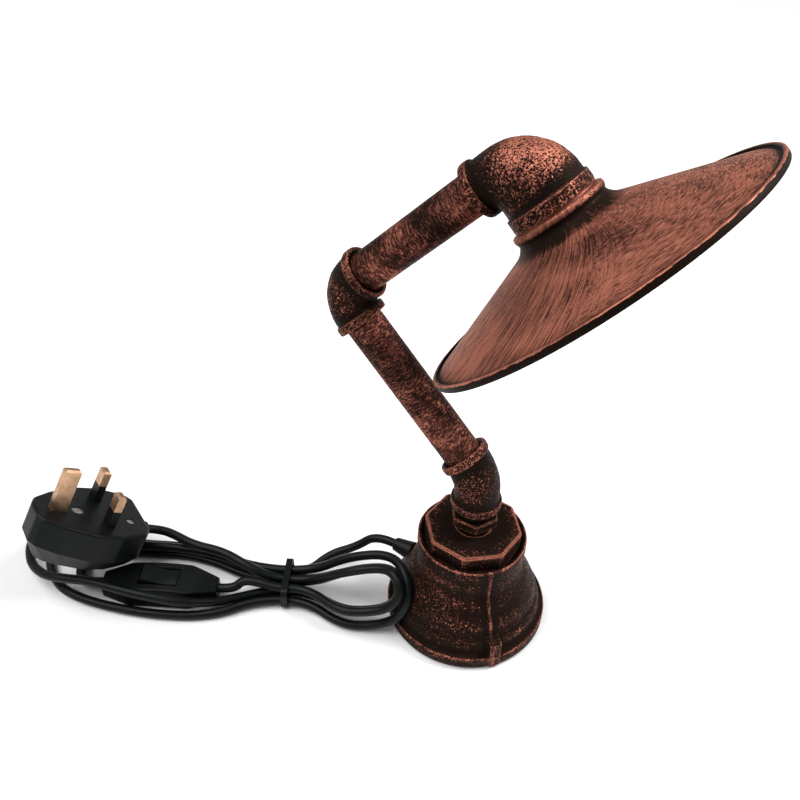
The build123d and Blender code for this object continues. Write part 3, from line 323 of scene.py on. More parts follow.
def head_line(run):
    """Sections of the head as a function of the run. Each one is an ellipse between a point on its back and a point
    in its throat, square to the pipes' plane. The back goes on straight from the small end, turns on a wide arc and
    drops to the big end; the throat turns on a narrow arc. The width grows with a power of the bend's sine."""
    part = np.clip((run - HEAD_NECK) / HEAD_BEND, 0, 1)
    neck = np.minimum(run - HEAD_NECK, 0)
    drop = np.maximum(run - HEAD_NECK - HEAD_BEND, 0)
    turn = ramp(part, *BACK_TURN) * QUARTER_TURN
    straight = ramp(part, 0, BACK_TURN[0]) * BACK_STRAIGHT
    back_x = HEAD_START + neck + straight + BACK_RADIUS * np.sin(turn)
    back_z = HEAD_SKIN - BACK_RADIUS * (1 - np.cos(turn)) - ramp(part, BACK_TURN[1], 1) * BACK_DROP - drop
    turn = ramp(part, 0, THROAT_TURN) * QUARTER_TURN
    throat_x = HEAD_START + neck + THROAT_RADIUS * np.sin(turn)
    throat_z = -HEAD_SKIN - THROAT_RADIUS * (1 - np.cos(turn)) - ramp(part, THROAT_TURN, 1) * THROAT_DROP - drop
    width = HEAD_SKIN + HEAD_WIDENING * np.sin(part * QUARTER_TURN) ** 1.5
    ways = np.array((UPPER_WAY, LOWER_WAY))
    back = np.column_stack((back_x, back_z)) @ ways
    throat = np.column_stack((throat_x, throat_z)) @ ways
    across = width[:, None] / HEAD_SKIN * np.cross(LOWER_WAY, UPPER_WAY)
    return HEAD_CORNER + (back + throat) / 2, (throat - back) / 2 / HEAD_SKIN, across


def collar_paint_and_shade(run, radius, first, last):
    """Share of copper on a fitting whose collars end at the first run and start at the last: more on the collars,
    and painted shade, black, on the body beside them, where the collars shade it."""
    # Painted shade: black on the body just beside each collar, where the collar shades it.
    beside = hump(run, first + 1.0, 2.4) + hump(run, last - 1.0, 2.4)
    collar = ramp(radius, 10.85, 11.05)
    return 0.06 * collar - 0.13 * beside * (1 - collar)


def head_paint_and_light(run, radius, angle):
    """Share of copper on the head: more on its dome and its back, a painted highlight where light falls on its top;
    more on the collars and painted shade beside them; and black on the sides of the small end."""
    sides = ramp(run, 18, 10) * ramp(run, 3.9, 4.4) * np.clip(np.cos(angle) + 0.7, 0, 1)
    # Painted highlight: more copper on the back and the dome, the head's top, where the light falls.
    back = ramp(run, 14, 20) * ramp(run, 36, 30) * np.clip(-np.cos(angle), 0, 1)
    dome = ramp(run, 8, 14) * ramp(run, 37, 34)
    collars = collar_paint_and_shade(run, radius, HEAD_NECK, HEAD_NECK + HEAD_BEND)
    return collars + 0.05 * dome + 0.12 * back - 0.1 * sides


def shade_paint_and_light(run, radius, angle):
    """Share of copper on the shade: more on the bead and the lip; more towards the rim, a painted highlight that
    leaves it lighter at the rim and darker towards the neck; none under the rim or inside; and black behind the lip
    and in patches in the cove under the bead. Crossed waves make the edges ragged."""
    wall = np.interp(radius, *SHADE_WALL)
    inside = ramp(run, wall, wall + 0.3) * ramp(radius, 72.6, 72.3)
    ragged = np.sin(23 * angle + 4 * np.sin(3 * angle)) + np.sin(53 * angle + 5 * np.sin(4 * angle))
    ragged = ragged + 0.8 * np.sin(89 * angle + 6 * np.sin(7 * angle))
    rim = 47.1 - 0.1 * ragged
    below = ramp(run, rim, rim + 0.4) * ramp(radius, 71.9, 72.3)
    behind_lip = ramp(radius, 72.0, 71.7) * ramp(radius, 70.6, 71.4)
    bead = ramp(run, 24.6, 23.8)
    lip = ramp(radius, 71.7, 72.1) * ramp(run, 47.3, 46.9)
    cove_top, cove_end = 24.0 - 0.4 * ragged, 23.8 + 0.8 * ragged
    patches = 0.75 + 0.35 * np.sin(angle + 0.3) + 0.3 * np.sin(5 * angle + 1.0) + 0.2 * np.sin(11 * angle)
    cove = ramp(run, cove_top, cove_top + 1.2) * ramp(radius, cove_end, cove_end - 5.0) * patches
    # Painted highlight: more copper towards the rim, lighter where more light falls on the shade.
    more = 0.01 * bead + 0.04 * lip + 0.025 * ramp(radius, 40, 70)
    return more - 0.8 * np.maximum(below, inside) - 0.2 * behind_lip - 0.17 * cove


class LampFinish(bpy.types.PropertyGroup):
    """Colours of the lamp's finishes."""

    copper: bpy.props.FloatVectorProperty(
        name="Copper", description="Rubbed copper red on the high places", subtype="COLOR", size=3,
        default=(0.5, 0.178, 0.116), min=0, max=1)
    russet: bpy.props.FloatVectorProperty(
        name="Russet", description="Thin copper red over the black coat", subtype="COLOR", size=3,
        default=(0.085, 0.027, 0.02), min=0, max=1)
    black_coat: bpy.props.FloatVectorProperty(
        name="Black coat", description="Black paint under the copper", subtype="COLOR", size=3,
        default=(0.009, 0.0052, 0.0038), min=0, max=1)
    sheen: bpy.props.FloatVectorProperty(
        name="Sheen", description="Tint of the light that the rubbed paint throws back", subtype="COLOR", size=3,
        default=(0.85, 0.55, 0.43), min=0, max=1)
    black_plastic: bpy.props.FloatVectorProperty(
        name="Black plastic", description="Cord, switch and plug", subtype="COLOR", size=3,
        default=(0.003, 0.0042, 0.004), min=0, max=1)
    brass: bpy.props.FloatVectorProperty(
        name="Brass", description="Pins of the plug", subtype="COLOR", size=3,
        default=(0.66, 0.41, 0.25), min=0, max=1)


class LampCord(bpy.types.PropertyGroup):
    """Sizes of the cords."""

    diameter: bpy.props.FloatProperty(
        name="Cord diameter", description="Outside of the round flex", default=0.0046, unit="LENGTH")
    lamp_length: bpy.props.FloatProperty(
        name="Lamp cord length", description="From the gland to the switch", default=1.081, unit="LENGTH")
    plug_length: bpy.props.FloatProperty(
        name="Plug cord length", description="From the switch to the plug", default=0.262, unit="LENGTH")


class LampStudio(bpy.types.PropertyGroup):
    """Floor, lights and camera."""

    floor: bpy.props.FloatVectorProperty(
        name="Floor", description="Pale floor", subtype="COLOR", size=3, default=(0.92, 0.92, 0.92), min=0, max=1)
    key: bpy.props.FloatProperty(name="Key light", description="Wide soft light from above", default=2.6)
    rim: bpy.props.FloatProperty(
        name="Side light", description="Soft light from the right", default=8.0, unit="POWER")
    world: bpy.props.FloatProperty(name="Surroundings", description="Even white light", default=0.3)
    lens: bpy.props.FloatProperty(
        name="Lens", description="Focal length", default=38.05, subtype="DISTANCE_CAMERA")


class Nodes:
    """Short hand for adding shader nodes to a tree: every call adds one node and links what is given."""

    def __init__(self, tree):
        self.tree = tree

    def feed(self, socket, value):
        """Links a socket to an output, or sets its plain value."""
        if isinstance(value, bpy.types.NodeSocket):
            self.tree.links.new(value, socket)
        else:
            socket.default_value = value

    def add(self, kind, inputs=None, **settings):
        node = self.tree.nodes.new(kind)
        for key, value in settings.items():
            setattr(node, key, value)
        for key, value in (inputs or {}).items():
            self.feed(node.inputs[key], value)
        return node

    def math(self, operation, first, second=0.0, third=0.0, clamp=False):
        node = self.add("ShaderNodeMath", {0: first, 1: second, 2: third}, operation=operation, use_clamp=clamp)
        return node.outputs[0]

    def vector_math(self, operation, first, second=(0, 0, 0)):
        return self.add("ShaderNodeVectorMath", {0: first, 1: second}, operation=operation).outputs["Value"]

    def noise(self, vector, scale, detail=3.0, roughness=0.55, distortion=0.0):
        sizes = {"Vector": vector, "Scale": scale, "Detail": detail, "Roughness": roughness,
                 "Distortion": distortion}
        return self.add("ShaderNodeTexNoise", sizes).outputs["Fac"]

    def between(self, value, low, high, out_low=0.0, out_high=1.0):
        ends = {"Value": value, "From Min": low, "From Max": high, "To Min": out_low, "To Max": out_high}
        return self.add("ShaderNodeMapRange", ends).outputs["Result"]

    def mix(self, factor, first, second):
        node = self.add("ShaderNodeMix", data_type="RGBA")
        for index, value in ((0, factor), (6, first), (7, second)):
            self.feed(node.inputs[index], value)
        return node.outputs[2]

    def mapped(self, vector, scale):
        return self.add("ShaderNodeMapping", {"Vector": vector, "Scale": scale}).outputs[0]

    def place(self):
        return self.add("ShaderNodeTexCoord").outputs["Object"]

    def bump(self, strength, depth, height):
        inputs = {"Strength": strength, "Distance": depth, "Height": height}
        return self.add("ShaderNodeBump", inputs).outputs[0]


def colour(rgb):
    """Colour with full alpha."""
    return (rgb[0], rgb[1], rgb[2], 1.0)


def new_group(name, inputs, outputs):
    """Shader node group with named sockets: returns its short hand, its input node and its output node."""
    tree = bpy.data.node_groups.new(name, "ShaderNodeTree")
    for label, kind, default in inputs:
        socket = tree.interface.new_socket(label, in_out="INPUT", socket_type=kind)
        if default is not None:
            socket.default_value = default
    for label, kind in outputs:
        tree.interface.new_socket(label, in_out="OUTPUT", socket_type=kind)
    make = Nodes(tree)
    return make, make.add("NodeGroupInput"), make.add("NodeGroupOutput")


def rubbed_copper_group():
    """Copper rubbed on a black coat: worm-like specks, strokes in two ways, worn edges and black recesses. The group
    is built once and shared."""
    made = bpy.data.node_groups.get("rubbed copper")
    if made:
        return made
    number, vector = "NodeSocketFloat", "NodeSocketVector"
    make, given, result = new_group(
        "rubbed copper",
        [("Place", vector, None), ("Stroke Place", vector, None), ("Cross Place", vector, None),
         ("Cross", number, 0.0), ("Coat", number, 0.0), ("Speck Scale", number, 1300.0), ("Strokes", number, 0.5),
         ("Cover", number, 0.5), ("Softness", number, 0.2), ("Blotches", number, 0.4),
         ("Edge Width", number, 0.001), ("Edge Wear", number, 0.3), ("Recess Depth", number, 0.005),
         ("Recess", number, 0.5)],
        [("Copper", number), ("Height", number), ("Blotch", number)])
    value = given.outputs
    specks = make.noise(value["Place"], value["Speck Scale"], 2.5, 0.6, 0.9)
    strokes = make.noise(value["Stroke Place"], 1.0, 4.0, 0.62, 0.3)
    cross = make.noise(value["Cross Place"], 1.0, 4.0, 0.62, 0.3)
    strokes = make.math("MULTIPLY_ADD", make.math("SUBTRACT", cross, strokes), value["Cross"], strokes)
    blotch = make.noise(value["Place"], 55.0, 3.0, 0.55, 0.4)
    pattern = make.math("MULTIPLY_ADD", make.math("SUBTRACT", strokes, specks), value["Strokes"], specks)
    normal = make.add("ShaderNodeNewGeometry").outputs["Normal"]
    rounded = make.add("ShaderNodeBevel", {"Radius": value["Edge Width"]}, samples=6).outputs[0]
    edge = make.between(make.vector_math("DOT_PRODUCT", normal, rounded), *EDGE_TURN)
    shut = make.add("ShaderNodeAmbientOcclusion", {"Distance": value["Recess Depth"]}, samples=8, only_local=True)
    recess = make.between(shut.outputs["AO"], *RECESS_SHUT)
    open_edge = make.math("MULTIPLY", edge, make.math("SUBTRACT", 1.0, recess, clamp=True))
    level = make.math("MULTIPLY_ADD", make.math("SUBTRACT", blotch, 0.5), value["Blotches"], pattern)
    level = make.math("MULTIPLY_ADD", open_edge, value["Edge Wear"], level)
    level = make.math("SUBTRACT", level, make.math("MULTIPLY", recess, value["Recess"]))
    level = make.math("ADD", level, value["Coat"])
    middle = make.math("SUBTRACT", 1.0, value["Cover"])
    low = make.math("SUBTRACT", middle, value["Softness"])
    high = make.math("ADD", middle, value["Softness"])
    make.feed(result.inputs["Copper"], make.between(level, low, high))
    make.feed(result.inputs["Height"], pattern)
    make.feed(result.inputs["Blotch"], blotch)
    return make.tree


def new_material(name):
    """Empty material with its shader and output: returns it with its short hand and its shader's inputs."""
    material = bpy.data.materials.new(name)
    material.use_nodes = True
    material.node_tree.nodes.clear()
    make = Nodes(material.node_tree)
    shader = make.add("ShaderNodeBsdfPrincipled")
    make.add("ShaderNodeOutputMaterial", {"Surface": shader.outputs[0]})
    return material, make, shader.inputs


def copper_material(name, finish, values, relief, stroke=(1, 1, 1), cross=(1, 1, 1), brushed=False, side=None,
                    core=None):
    """Rubbed copper over black on Object coordinates. The relief is a strength and a depth. Where brushed, strokes
    follow the piece's brush attribute and its coat attribute adds copper or black, painted highlights and painted
    shade among them. Cross strokes lie where the brush faces the side. The core is painted shade, black round the
    upright axis, where the parts above shade the piece."""
    material, make, shader = new_material(name)
    place = make.place()
    rubbed = make.add("ShaderNodeGroup", node_tree=rubbed_copper_group())
    given = rubbed.inputs
    make.feed(given["Place"], place)
    run = place
    if brushed:
        run = make.add("ShaderNodeAttribute", attribute_name="brush").outputs["Vector"]
        # The coat attribute holds the paint's share together with painted highlights and painted shade.
        make.feed(given["Coat"], make.add("ShaderNodeAttribute", attribute_name="coat").outputs["Fac"])
    # Painted shade: black round the upright axis, where the nipple and the elbow above shade the piece's top.
    if core:
        from_axis = make.vector_math("LENGTH", make.mapped(place, (1, 1, 0)))
        make.feed(given["Coat"], make.between(from_axis, core[0], core[1], core[2], 0.0))
    make.feed(given["Stroke Place"], make.mapped(run, stroke))
    make.feed(given["Cross Place"], make.mapped(run, cross))
    if side:
        wander = make.math("SUBTRACT", make.noise(place, 30.0, 2.0, 0.5), 0.5)
        facing = make.math("MULTIPLY_ADD", wander, 1.2, make.vector_math("DOT_PRODUCT", run, side))
        make.feed(given["Cross"], make.between(facing, 0.4, 0.9))
    for key, value in values.items():
        make.feed(given[key], value)
    copper, height = rubbed.outputs["Copper"], rubbed.outputs["Height"]
    coat = make.mix(make.between(copper, 0.0, 0.5), colour(finish.black_coat), colour(finish.russet))
    coat = make.mix(make.between(copper, 0.4, 1.0), coat, colour(finish.copper))
    make.feed(shader["Base Color"], coat)
    make.feed(shader["Metallic"], make.between(copper, 0.2, 1.0, 0.0, 0.6))
    make.feed(shader["Roughness"], make.between(height, 0.3, 0.7, 0.6, 0.36))
    make.feed(shader["Specular IOR Level"], COAT_GLOSS)
    make.feed(shader["Specular Tint"], colour(finish.sheen))
    make.feed(shader["Normal"], make.bump(*relief, height))
    return material


def black_material(name, rgb, roughness, grain=1400.0, bump=0.12, dust=0.12):
    """Black plastic: fine moulded grain, a little wandering gloss and a breath of pale dust."""
    material, make, shader = new_material(name)
    place = make.place()
    fine = make.noise(place, grain, 3.0, 0.6)
    wide = make.noise(place, 70.0, 3.0, 0.5)
    pale = tuple(DUST_LIGHT + 0.8 * c for c in rgb)
    dusty = make.math("MULTIPLY", make.between(wide, 0.45, 0.75), dust)
    make.feed(shader["Base Color"], make.mix(dusty, colour(rgb), colour(pale)))
    wander = make.math("SUBTRACT", wide, 0.5)
    make.feed(shader["Roughness"], make.math("MULTIPLY_ADD", wander, 0.25, roughness))
    make.feed(shader["Specular IOR Level"], PLASTIC_GLOSS)
    make.feed(shader["Normal"], make.bump(bump, 0.0002, fine))
    return material


def metal_material(name, rgb, roughness, stretch=(1, 1, 1)):
    """Plain drawn metal: faint lines, and darker tarnish in patches."""
    material, make, shader = new_material(name)
    place = make.place()
    lines = make.noise(make.mapped(place, stretch), 1200.0, 3.0, 0.6)
    patches = make.between(make.noise(place, 160.0, 3.0, 0.6), 0.4, 0.7)
    dark = tuple(TARNISH * c for c in rgb)
    make.feed(shader["Base Color"], make.mix(patches, colour(rgb), colour(dark)))
    make.feed(shader["Roughness"], make.between(lines, 0.3, 0.7, roughness - 0.1, roughness + 0.12))
    make.feed(shader["Metallic"], 1.0)
    make.feed(shader["Normal"], make.bump(0.15, 0.0001, lines))
    return material


def dress(names, material):
    """Gives CAD nodes a material on each of their slots."""
    for name in names:
        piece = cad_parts[name]
        if not piece.data.materials:
            piece.data.materials.append(material)
        for index in range(len(piece.data.materials)):
            piece.data.materials[index] = material


def softened(rows, rounding, steps=5):
    """Closed outline whose corners are rounded: by each corner the line runs on a parabola between two points set
    back by the rounding along its two sides, at most 0.45 of a side."""
    rows = np.array(rows, float)
    rounding = np.broadcast_to(np.array(rounding, float), (len(rows),))[:, None]
    before = np.roll(rows, 1, 0) - rows
    after = np.roll(rows, -1, 0) - rows
    reach_before = np.linalg.norm(before, axis=1, keepdims=True)
    reach_after = np.linalg.norm(after, axis=1, keepdims=True)
    start = rows + before * np.minimum(rounding / reach_before, 0.45)
    end = rows + after * np.minimum(rounding / reach_after, 0.45)
    part = np.linspace(0, 1, steps)[None, :, None]
    curve = (1 - part) ** 2 * start[:, None] + 2 * part * (1 - part) * rows[:, None] + part ** 2 * end[:, None]
    return curve.reshape(-1, 2)


def divided(rows, step):
    """Closed outline with more points on its long sides, one every step at most."""
    closed = np.vstack((rows, rows[:1]))
    run = np.concatenate(([0], np.cumsum(np.linalg.norm(np.diff(closed, axis=0), axis=1))))
    marks = np.unique(np.round(np.concatenate((run, np.arange(0, run[-1], step))), 4))
    marks = marks[np.concatenate((np.diff(marks) > 0.02, [False]))]
    return np.column_stack((np.interp(marks, run, closed[:, 0]), np.interp(marks, run, closed[:, 1])))


def around(count):
    """Even angles round a piece."""
    return np.linspace(0, FULL_TURN, count, endpoint=False)


def pipe_line(start, corner, end, bend):
    """Centre line of an elbow as a function of the distance run: straight, an arc of the bend's radius, straight.
    Gives the point, the way to the inside of the bend and the way across it."""
    start, corner, end = (np.array(p, float) for p in (start, corner, end))
    leg_in = np.linalg.norm(corner - start)
    first = (corner - start) / leg_in
    last = (end - corner) / np.linalg.norm(end - corner)
    turn = math.acos(float(first @ last))
    side = last - first * float(first @ last)
    side /= np.linalg.norm(side)
    straight = leg_in - bend * math.tan(turn / 2)

    def at(run):
        angle = np.clip((run - straight) / bend, 0, turn)[:, None]
        past = np.maximum(run - straight - bend * turn, 0)[:, None]
        ahead = np.cos(angle) * first + np.sin(angle) * side
        inward = np.cos(angle) * side - np.sin(angle) * first
        place = start + np.minimum(run, straight)[:, None] * first
        place = place + bend * (np.sin(angle) * first + (1 - np.cos(angle)) * side) + past * ahead
        return place, inward, np.broadcast_to(np.cross(first, side), place.shape)

    return at


def straight_line(start, way, side):
    """Straight centre line as a function of the distance run, with two ways square to it."""
    start, way, side = (np.array(p, float) for p in (start, way, side))

    def at(run):
        place = start + run[:, None] * way
        return place, np.broadcast_to(side, place.shape), np.broadcast_to(np.cross(way, side), place.shape)

    return at


def outward(mesh, rounding=0.0):
    """Turns a mesh's faces outwards, rounds its sharp edges where asked, and shades it smooth."""
    skin = bmesh.new()
    skin.from_mesh(mesh)
    bmesh.ops.recalc_face_normals(skin, faces=skin.faces)
    if rounding:
        sharp = [edge for edge in skin.edges if edge.calc_face_angle(0.0) > SHARP_ANGLE]
        bmesh.ops.bevel(skin, geom=sharp, offset=rounding, segments=3, profile=0.5, affect="EDGES")
    skin.to_mesh(mesh)
    skin.free()
    mesh.shade_smooth()


def linked(name, shape, material):
    """Object of a mesh or a curve, with its material, in the scene."""
    shape.materials.append(material)
    piece = bpy.data.objects.new(name, shape)
    bpy.context.scene.collection.objects.link(piece)
    return piece


def carried(name, outline, line, angles, material, swell=None, coat=None, swirl=0.0):
    """Closed outline of run and radius carried round a centre line: each point is the line's place at its run, plus
    its radius times the cosine and sine of the angle along the two ways square to the line. The swell gives each
    point its own radius. The brush attribute holds the angle's cosine and sine and the way along the outline, and
    coat the paint's share with its painted highlights and painted shade; the swirl turns the angle back along the
    outline, so that strokes along it lean."""
    run, radius = outline[:, 0], outline[:, 1]
    place, inward, across = line(run)
    angle, runs = np.meshgrid(angles, run)
    radii = np.broadcast_to(radius[:, None], angle.shape)
    if swell is not None:
        radii = swell(runs, radii, angle)
    ways = np.cos(angle)[..., None] * inward[:, None] + np.sin(angle)[..., None] * across[:, None]
    points = (place[:, None] + radii[..., None] * ways) * MM
    index = np.arange(angle.size).reshape(angle.shape)
    down = np.roll(index, -1, 0)
    faces = np.stack((index, down, np.roll(down, -1, 1), np.roll(index, -1, 1)), -1).reshape(-1, 4)
    mesh = bpy.data.meshes.new(name)
    mesh.from_pydata(points.reshape(-1, 3).tolist(), [], faces.tolist())
    along = np.concatenate(([0], np.cumsum(np.linalg.norm(np.diff(outline, axis=0), axis=1))))
    along = np.broadcast_to(along[:, None], angle.shape)
    lean = angle - swirl * along
    strokes = np.stack((np.cos(lean), np.sin(lean), along), -1).astype(np.float32)
    mesh.attributes.new("brush", "FLOAT_VECTOR", "POINT").data.foreach_set("vector", strokes.ravel())
    paint = np.zeros(angle.shape) if coat is None else coat(runs, radii, angle)
    mesh.attributes.new("coat", "FLOAT", "POINT").data.foreach_set("value", paint.astype(np.float32).ravel())
    outward(mesh)
    return linked(name, mesh, material)


def stands_for(piece, node, body):
    """Puts a piece in a CAD node's place."""
    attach(piece, body)
    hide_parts(node)


def hank_ways():
    """Ways along the hank to the left and across it to the front."""
    cosine, sine = math.cos(HANK_ANGLE), math.sin(HANK_ANGLE)
    return np.array((cosine, sine, 0)), np.array((-sine, cosine, 0))


def from_hank(rows):
    """Turns hank distances in millimetres into the lamp's frame in metres."""
    along, across = hank_ways()
    rows = np.array(rows, float)
    flat = np.array((*TIE_AT, 0)) + rows[:, :1] * along + rows[:, 1:2] * across
    return (flat + rows[:, 2:] * (0, 0, 1)) * MM


def cord_curve(name, route, diameter, material):
    """Round flex on one open smooth spline whose control points are the route's points."""
    points = from_hank(route)
    curve = bpy.data.curves.new(name, "CURVE")
    curve.dimensions = "3D"
    spline = curve.splines.new("NURBS")
    spline.points.add(len(points) - 1)
    spline.points.foreach_set("co", np.column_stack((points, np.ones(len(points)))).ravel())
    spline.order_u = 3
    spline.use_endpoint_u = True
    spline.resolution_u = 12
    curve.bevel_depth = diameter / 2
    curve.bevel_resolution = 6
    curve.use_fill_caps = True
    return linked(name, curve, material), points


def dished_rocker(name, material):
    """Rocker of the switch: its side outline has a top that rises with the square of the distance from the pivot,
    two upright ends and a flat foot. The outline is tilted about the pivot, so that the end away from the lamp
    stands up, and drawn across the rocker's width. Then its edges are rounded."""
    reach = np.linspace(-ROCKER_HALF_LENGTH, ROCKER_HALF_LENGTH, 13)
    top = ROCKER_DISH[0] + ROCKER_DISH[1] * (reach / ROCKER_HALF_LENGTH) ** 2
    run = np.concatenate((reach, reach[[-1, 0]]))
    rise = np.concatenate((top, (ROCKER_FOOT, ROCKER_FOOT)))
    cosine, sine = math.cos(ROCKER_TILT), math.sin(ROCKER_TILT)
    turned = np.column_stack((run * cosine - rise * sine, run * sine + rise * cosine))
    along, across = hank_ways()
    side = np.array(ROCKER_AT) + turned @ np.array((along, (0, 0, 1)))
    points = np.vstack((side - ROCKER_HALF_WIDTH * across, side + ROCKER_HALF_WIDTH * across)) * MM
    near = np.arange(len(side))
    far = near + len(side)
    walls = np.column_stack((near, np.roll(near, -1), np.roll(far, -1), far))
    mesh = bpy.data.meshes.new(name)
    mesh.from_pydata(points.tolist(), [], walls.tolist() + [near[::-1].tolist(), far.tolist()])
    outward(mesh, ROCKER_ROUND * MM)
    return linked(name, mesh, material)


def camera_turn():
    """Turn of the camera: its back points away from the lamp at the azimuth and elevation, and then it is rolled."""
    level, rise = math.cos(CAMERA_ELEVATION), math.sin(CAMERA_ELEVATION)
    right = Vector((math.cos(CAMERA_AZIMUTH), math.sin(CAMERA_AZIMUTH), 0))
    back = Vector((right.y * level, -right.x * level, rise))
    up = back.cross(right)
    cosine, sine = math.cos(CAMERA_ROLL), math.sin(CAMERA_ROLL)
    return Matrix((right * cosine + up * sine, up * cosine - right * sine, back)).transposed()


class LAMP_OT_iron(bpy.types.Operator):
    """Casts the bell, the elbows and the pipes, and rubs copper red over their black coat."""

    bl_idname = "lamp.iron"
    bl_label = "Bell, elbows and pipes"

    def execute(self, context):
        finish = context.scene.lamp_finish
        cast = copper_material("rubbed cast iron", finish, CASTING_RUB, (0.6, 0.0006), brushed=True)
        dress(["reducing_bush"], copper_material("rubbed nut", finish, BUSH_RUB, (0.6, 0.0006), core=BUSH_PAINTED_SHADE))
        dress(["hex_nipple"], copper_material("rubbed small nut", finish, NIPPLE_RUB, (0.6, 0.0006)))
        for name, node, body, corners, line, ends in (
            ("cast_elbow_low", "elbow_45", "lower_arm", ELBOW_45_OUTLINE, ELBOW_45_LINE, ELBOW_45_BODY),
            ("cast_elbow_mid", "elbow_90", "upper_arm", ELBOW_90_OUTLINE, ELBOW_90_LINE, ELBOW_90_BODY),
        ):
            outline = divided(softened(corners, ELBOW_ROUNDING), ELBOW_STEP)
            piece = carried(name, outline, pipe_line(*line), around(ROUND_STEPS), cast,
                            uneven(FITTING_BORE, ELBOW_LUMPS),
                            lambda run, radius, angle, ends=ends: collar_paint_and_shade(run, radius, *ends))
            stands_for(piece, node, body)
        outline = divided(softened(HEAD_OUTLINE, HEAD_ROUNDING), HEAD_STEP)
        piece = carried("cast_head", outline, head_line, around(HEAD_ROUND_STEPS), cast,
                        uneven(FITTING_BORE, HEAD_LUMPS), head_paint_and_light)
        stands_for(piece, "head_elbow", "head")
        pipe = copper_material("rubbed pipe", finish, PIPE_RUB, (0.4, 0.0004), stroke=(3, 3, 1.5),
                               cross=(5, 5, 0.6), brushed=True)
        for name, node, body, (start, way, reach) in (
            ("steel_pipe_low", "lower_pipe", "lower_arm", LOWER_PIPE),
            ("steel_pipe_high", "upper_pipe", "upper_arm", UPPER_PIPE),
        ):
            corners = [(0, PIPE_OUTSIDE), (reach, PIPE_OUTSIDE), (reach, PIPE_INSIDE), (0, PIPE_INSIDE)]
            outline = divided(softened(corners, PIPE_ROUNDING), PIPE_STEP)
            side = np.cross(way, (0, 1, 0))
            line = straight_line(start, way, side / np.linalg.norm(side))
            piece = carried(name, outline, line, around(ROUND_STEPS), pipe, uneven(PIPE_BORE, PIPE_LUMPS))
            stands_for(piece, node, body)
        bell = copper_material("rubbed bell", finish, BELL_RUB, (0.6, 0.0007), stroke=(7, 7, 0.5),
                               cross=(7, 7, 0.5), brushed=True)
        outline = divided(softened(BELL_OUTLINE, BELL_ROUNDING), BELL_STEP)
        fine = np.linspace(-SEAM_FINE[0], *SEAM_FINE)
        rest = np.linspace(SEAM_REST[0], FULL_TURN - SEAM_REST[0], SEAM_REST[1])
        line = straight_line((0, 0, 0), (0, 0, 1), (1, 0, 0))
        piece = carried("cast_bell", outline, line, SEAM_ANGLE + np.concatenate((fine, rest)), bell, bell_swell,
                        bell_paint_and_shade)
        stands_for(piece, "base_reducer", "base")
        return {"FINISHED"}


class LAMP_OT_shade(bpy.types.Operator):
    """Spins the bell shade and brushes copper red over its black coat."""

    bl_idname = "lamp.shade"
    bl_label = "Shade"

    def execute(self, context):
        spun = copper_material("rubbed shade", context.scene.lamp_finish, SHADE_RUB, (0.3, 0.0003),
                               stroke=(190, 190, 0.09), cross=(16, 16, 4.0), brushed=True, side=(0.98, -0.2, 0))
        dress(["shade_washer"], spun)
        outline = divided(softened(SHADE_OUTLINE, SHADE_ROUNDING), SHADE_STEP)
        line = straight_line(HEAD_CORNER, SHADE_WAY, SHADE_SIDE)
        piece = carried("spun_shade", outline, line, around(SHADE_ROUND_STEPS), spun, coat=shade_paint_and_light,
                        swirl=SHADE_SWIRL)
        stands_for(piece, "shade", "head")
        return {"FINISHED"}


class LAMP_OT_trim(bpy.types.Operator):
    """Shapes the rocker and finishes the small plastic, brass and steel pieces."""

    bl_idname = "lamp.trim"
    bl_label = "Plastic, brass and steel"

    def execute(self, context):
        finish = context.scene.lamp_finish
        black = black_material("moulded black", finish.black_plastic, 0.42)
        stands_for(dished_rocker("dished_rocker", black), "switch_rocker", "rocker")
        dress(MOULDED_NODES, black)
        dress(INNER_FLEX_NODES, black_material("inner flex", finish.black_plastic, 0.5))
        dress(["base_pad"], black_material("base rubber", BASE_RUBBER, 0.7))
        dress(PIN_NODES, metal_material("pin brass", finish.brass, 0.36, (1, 1, 0.1)))
        dress(CONTACT_NODES, metal_material("contact brass", CONTACT_BRASS, 0.3))
        dress(STEEL_NODES, metal_material("bright steel", BRIGHT_STEEL, 0.3))
        dress(["fuse"], black_material("fuse ceramic", FUSE_CERAMIC, 0.3, dust=0.1))
        return {"FINISHED"}


class LAMP_OT_cords(bpy.types.Operator):
    """Lays the two lengths of flex in their tied hank."""

    bl_idname = "lamp.cords"
    bl_label = "Cords"

    def execute(self, context):
        sizes = context.scene.lamp_cord
        switch = [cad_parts[name] for name in SWITCH_NODES] + [bpy.data.objects["dished_rocker"]]
        plug = [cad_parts[name] for name in PLUG_NODES]
        flex = black_material("black flex", context.scene.lamp_finish.black_plastic, 0.38, grain=900.0, bump=0.06)
        for name, node, route, length, far_end, riders in (
            ("lamp_flex", "lamp_cord", LAMP_ROUTE, sizes.lamp_length, "fitting", switch),
            ("plug_flex", "plug_cord", PLUG_ROUTE, sizes.plug_length, "plug", plug),
        ):
            piece, points = cord_curve(name, route, sizes.diameter, flex)
            stands_for(piece, node, "base")
        return {"FINISHED"}


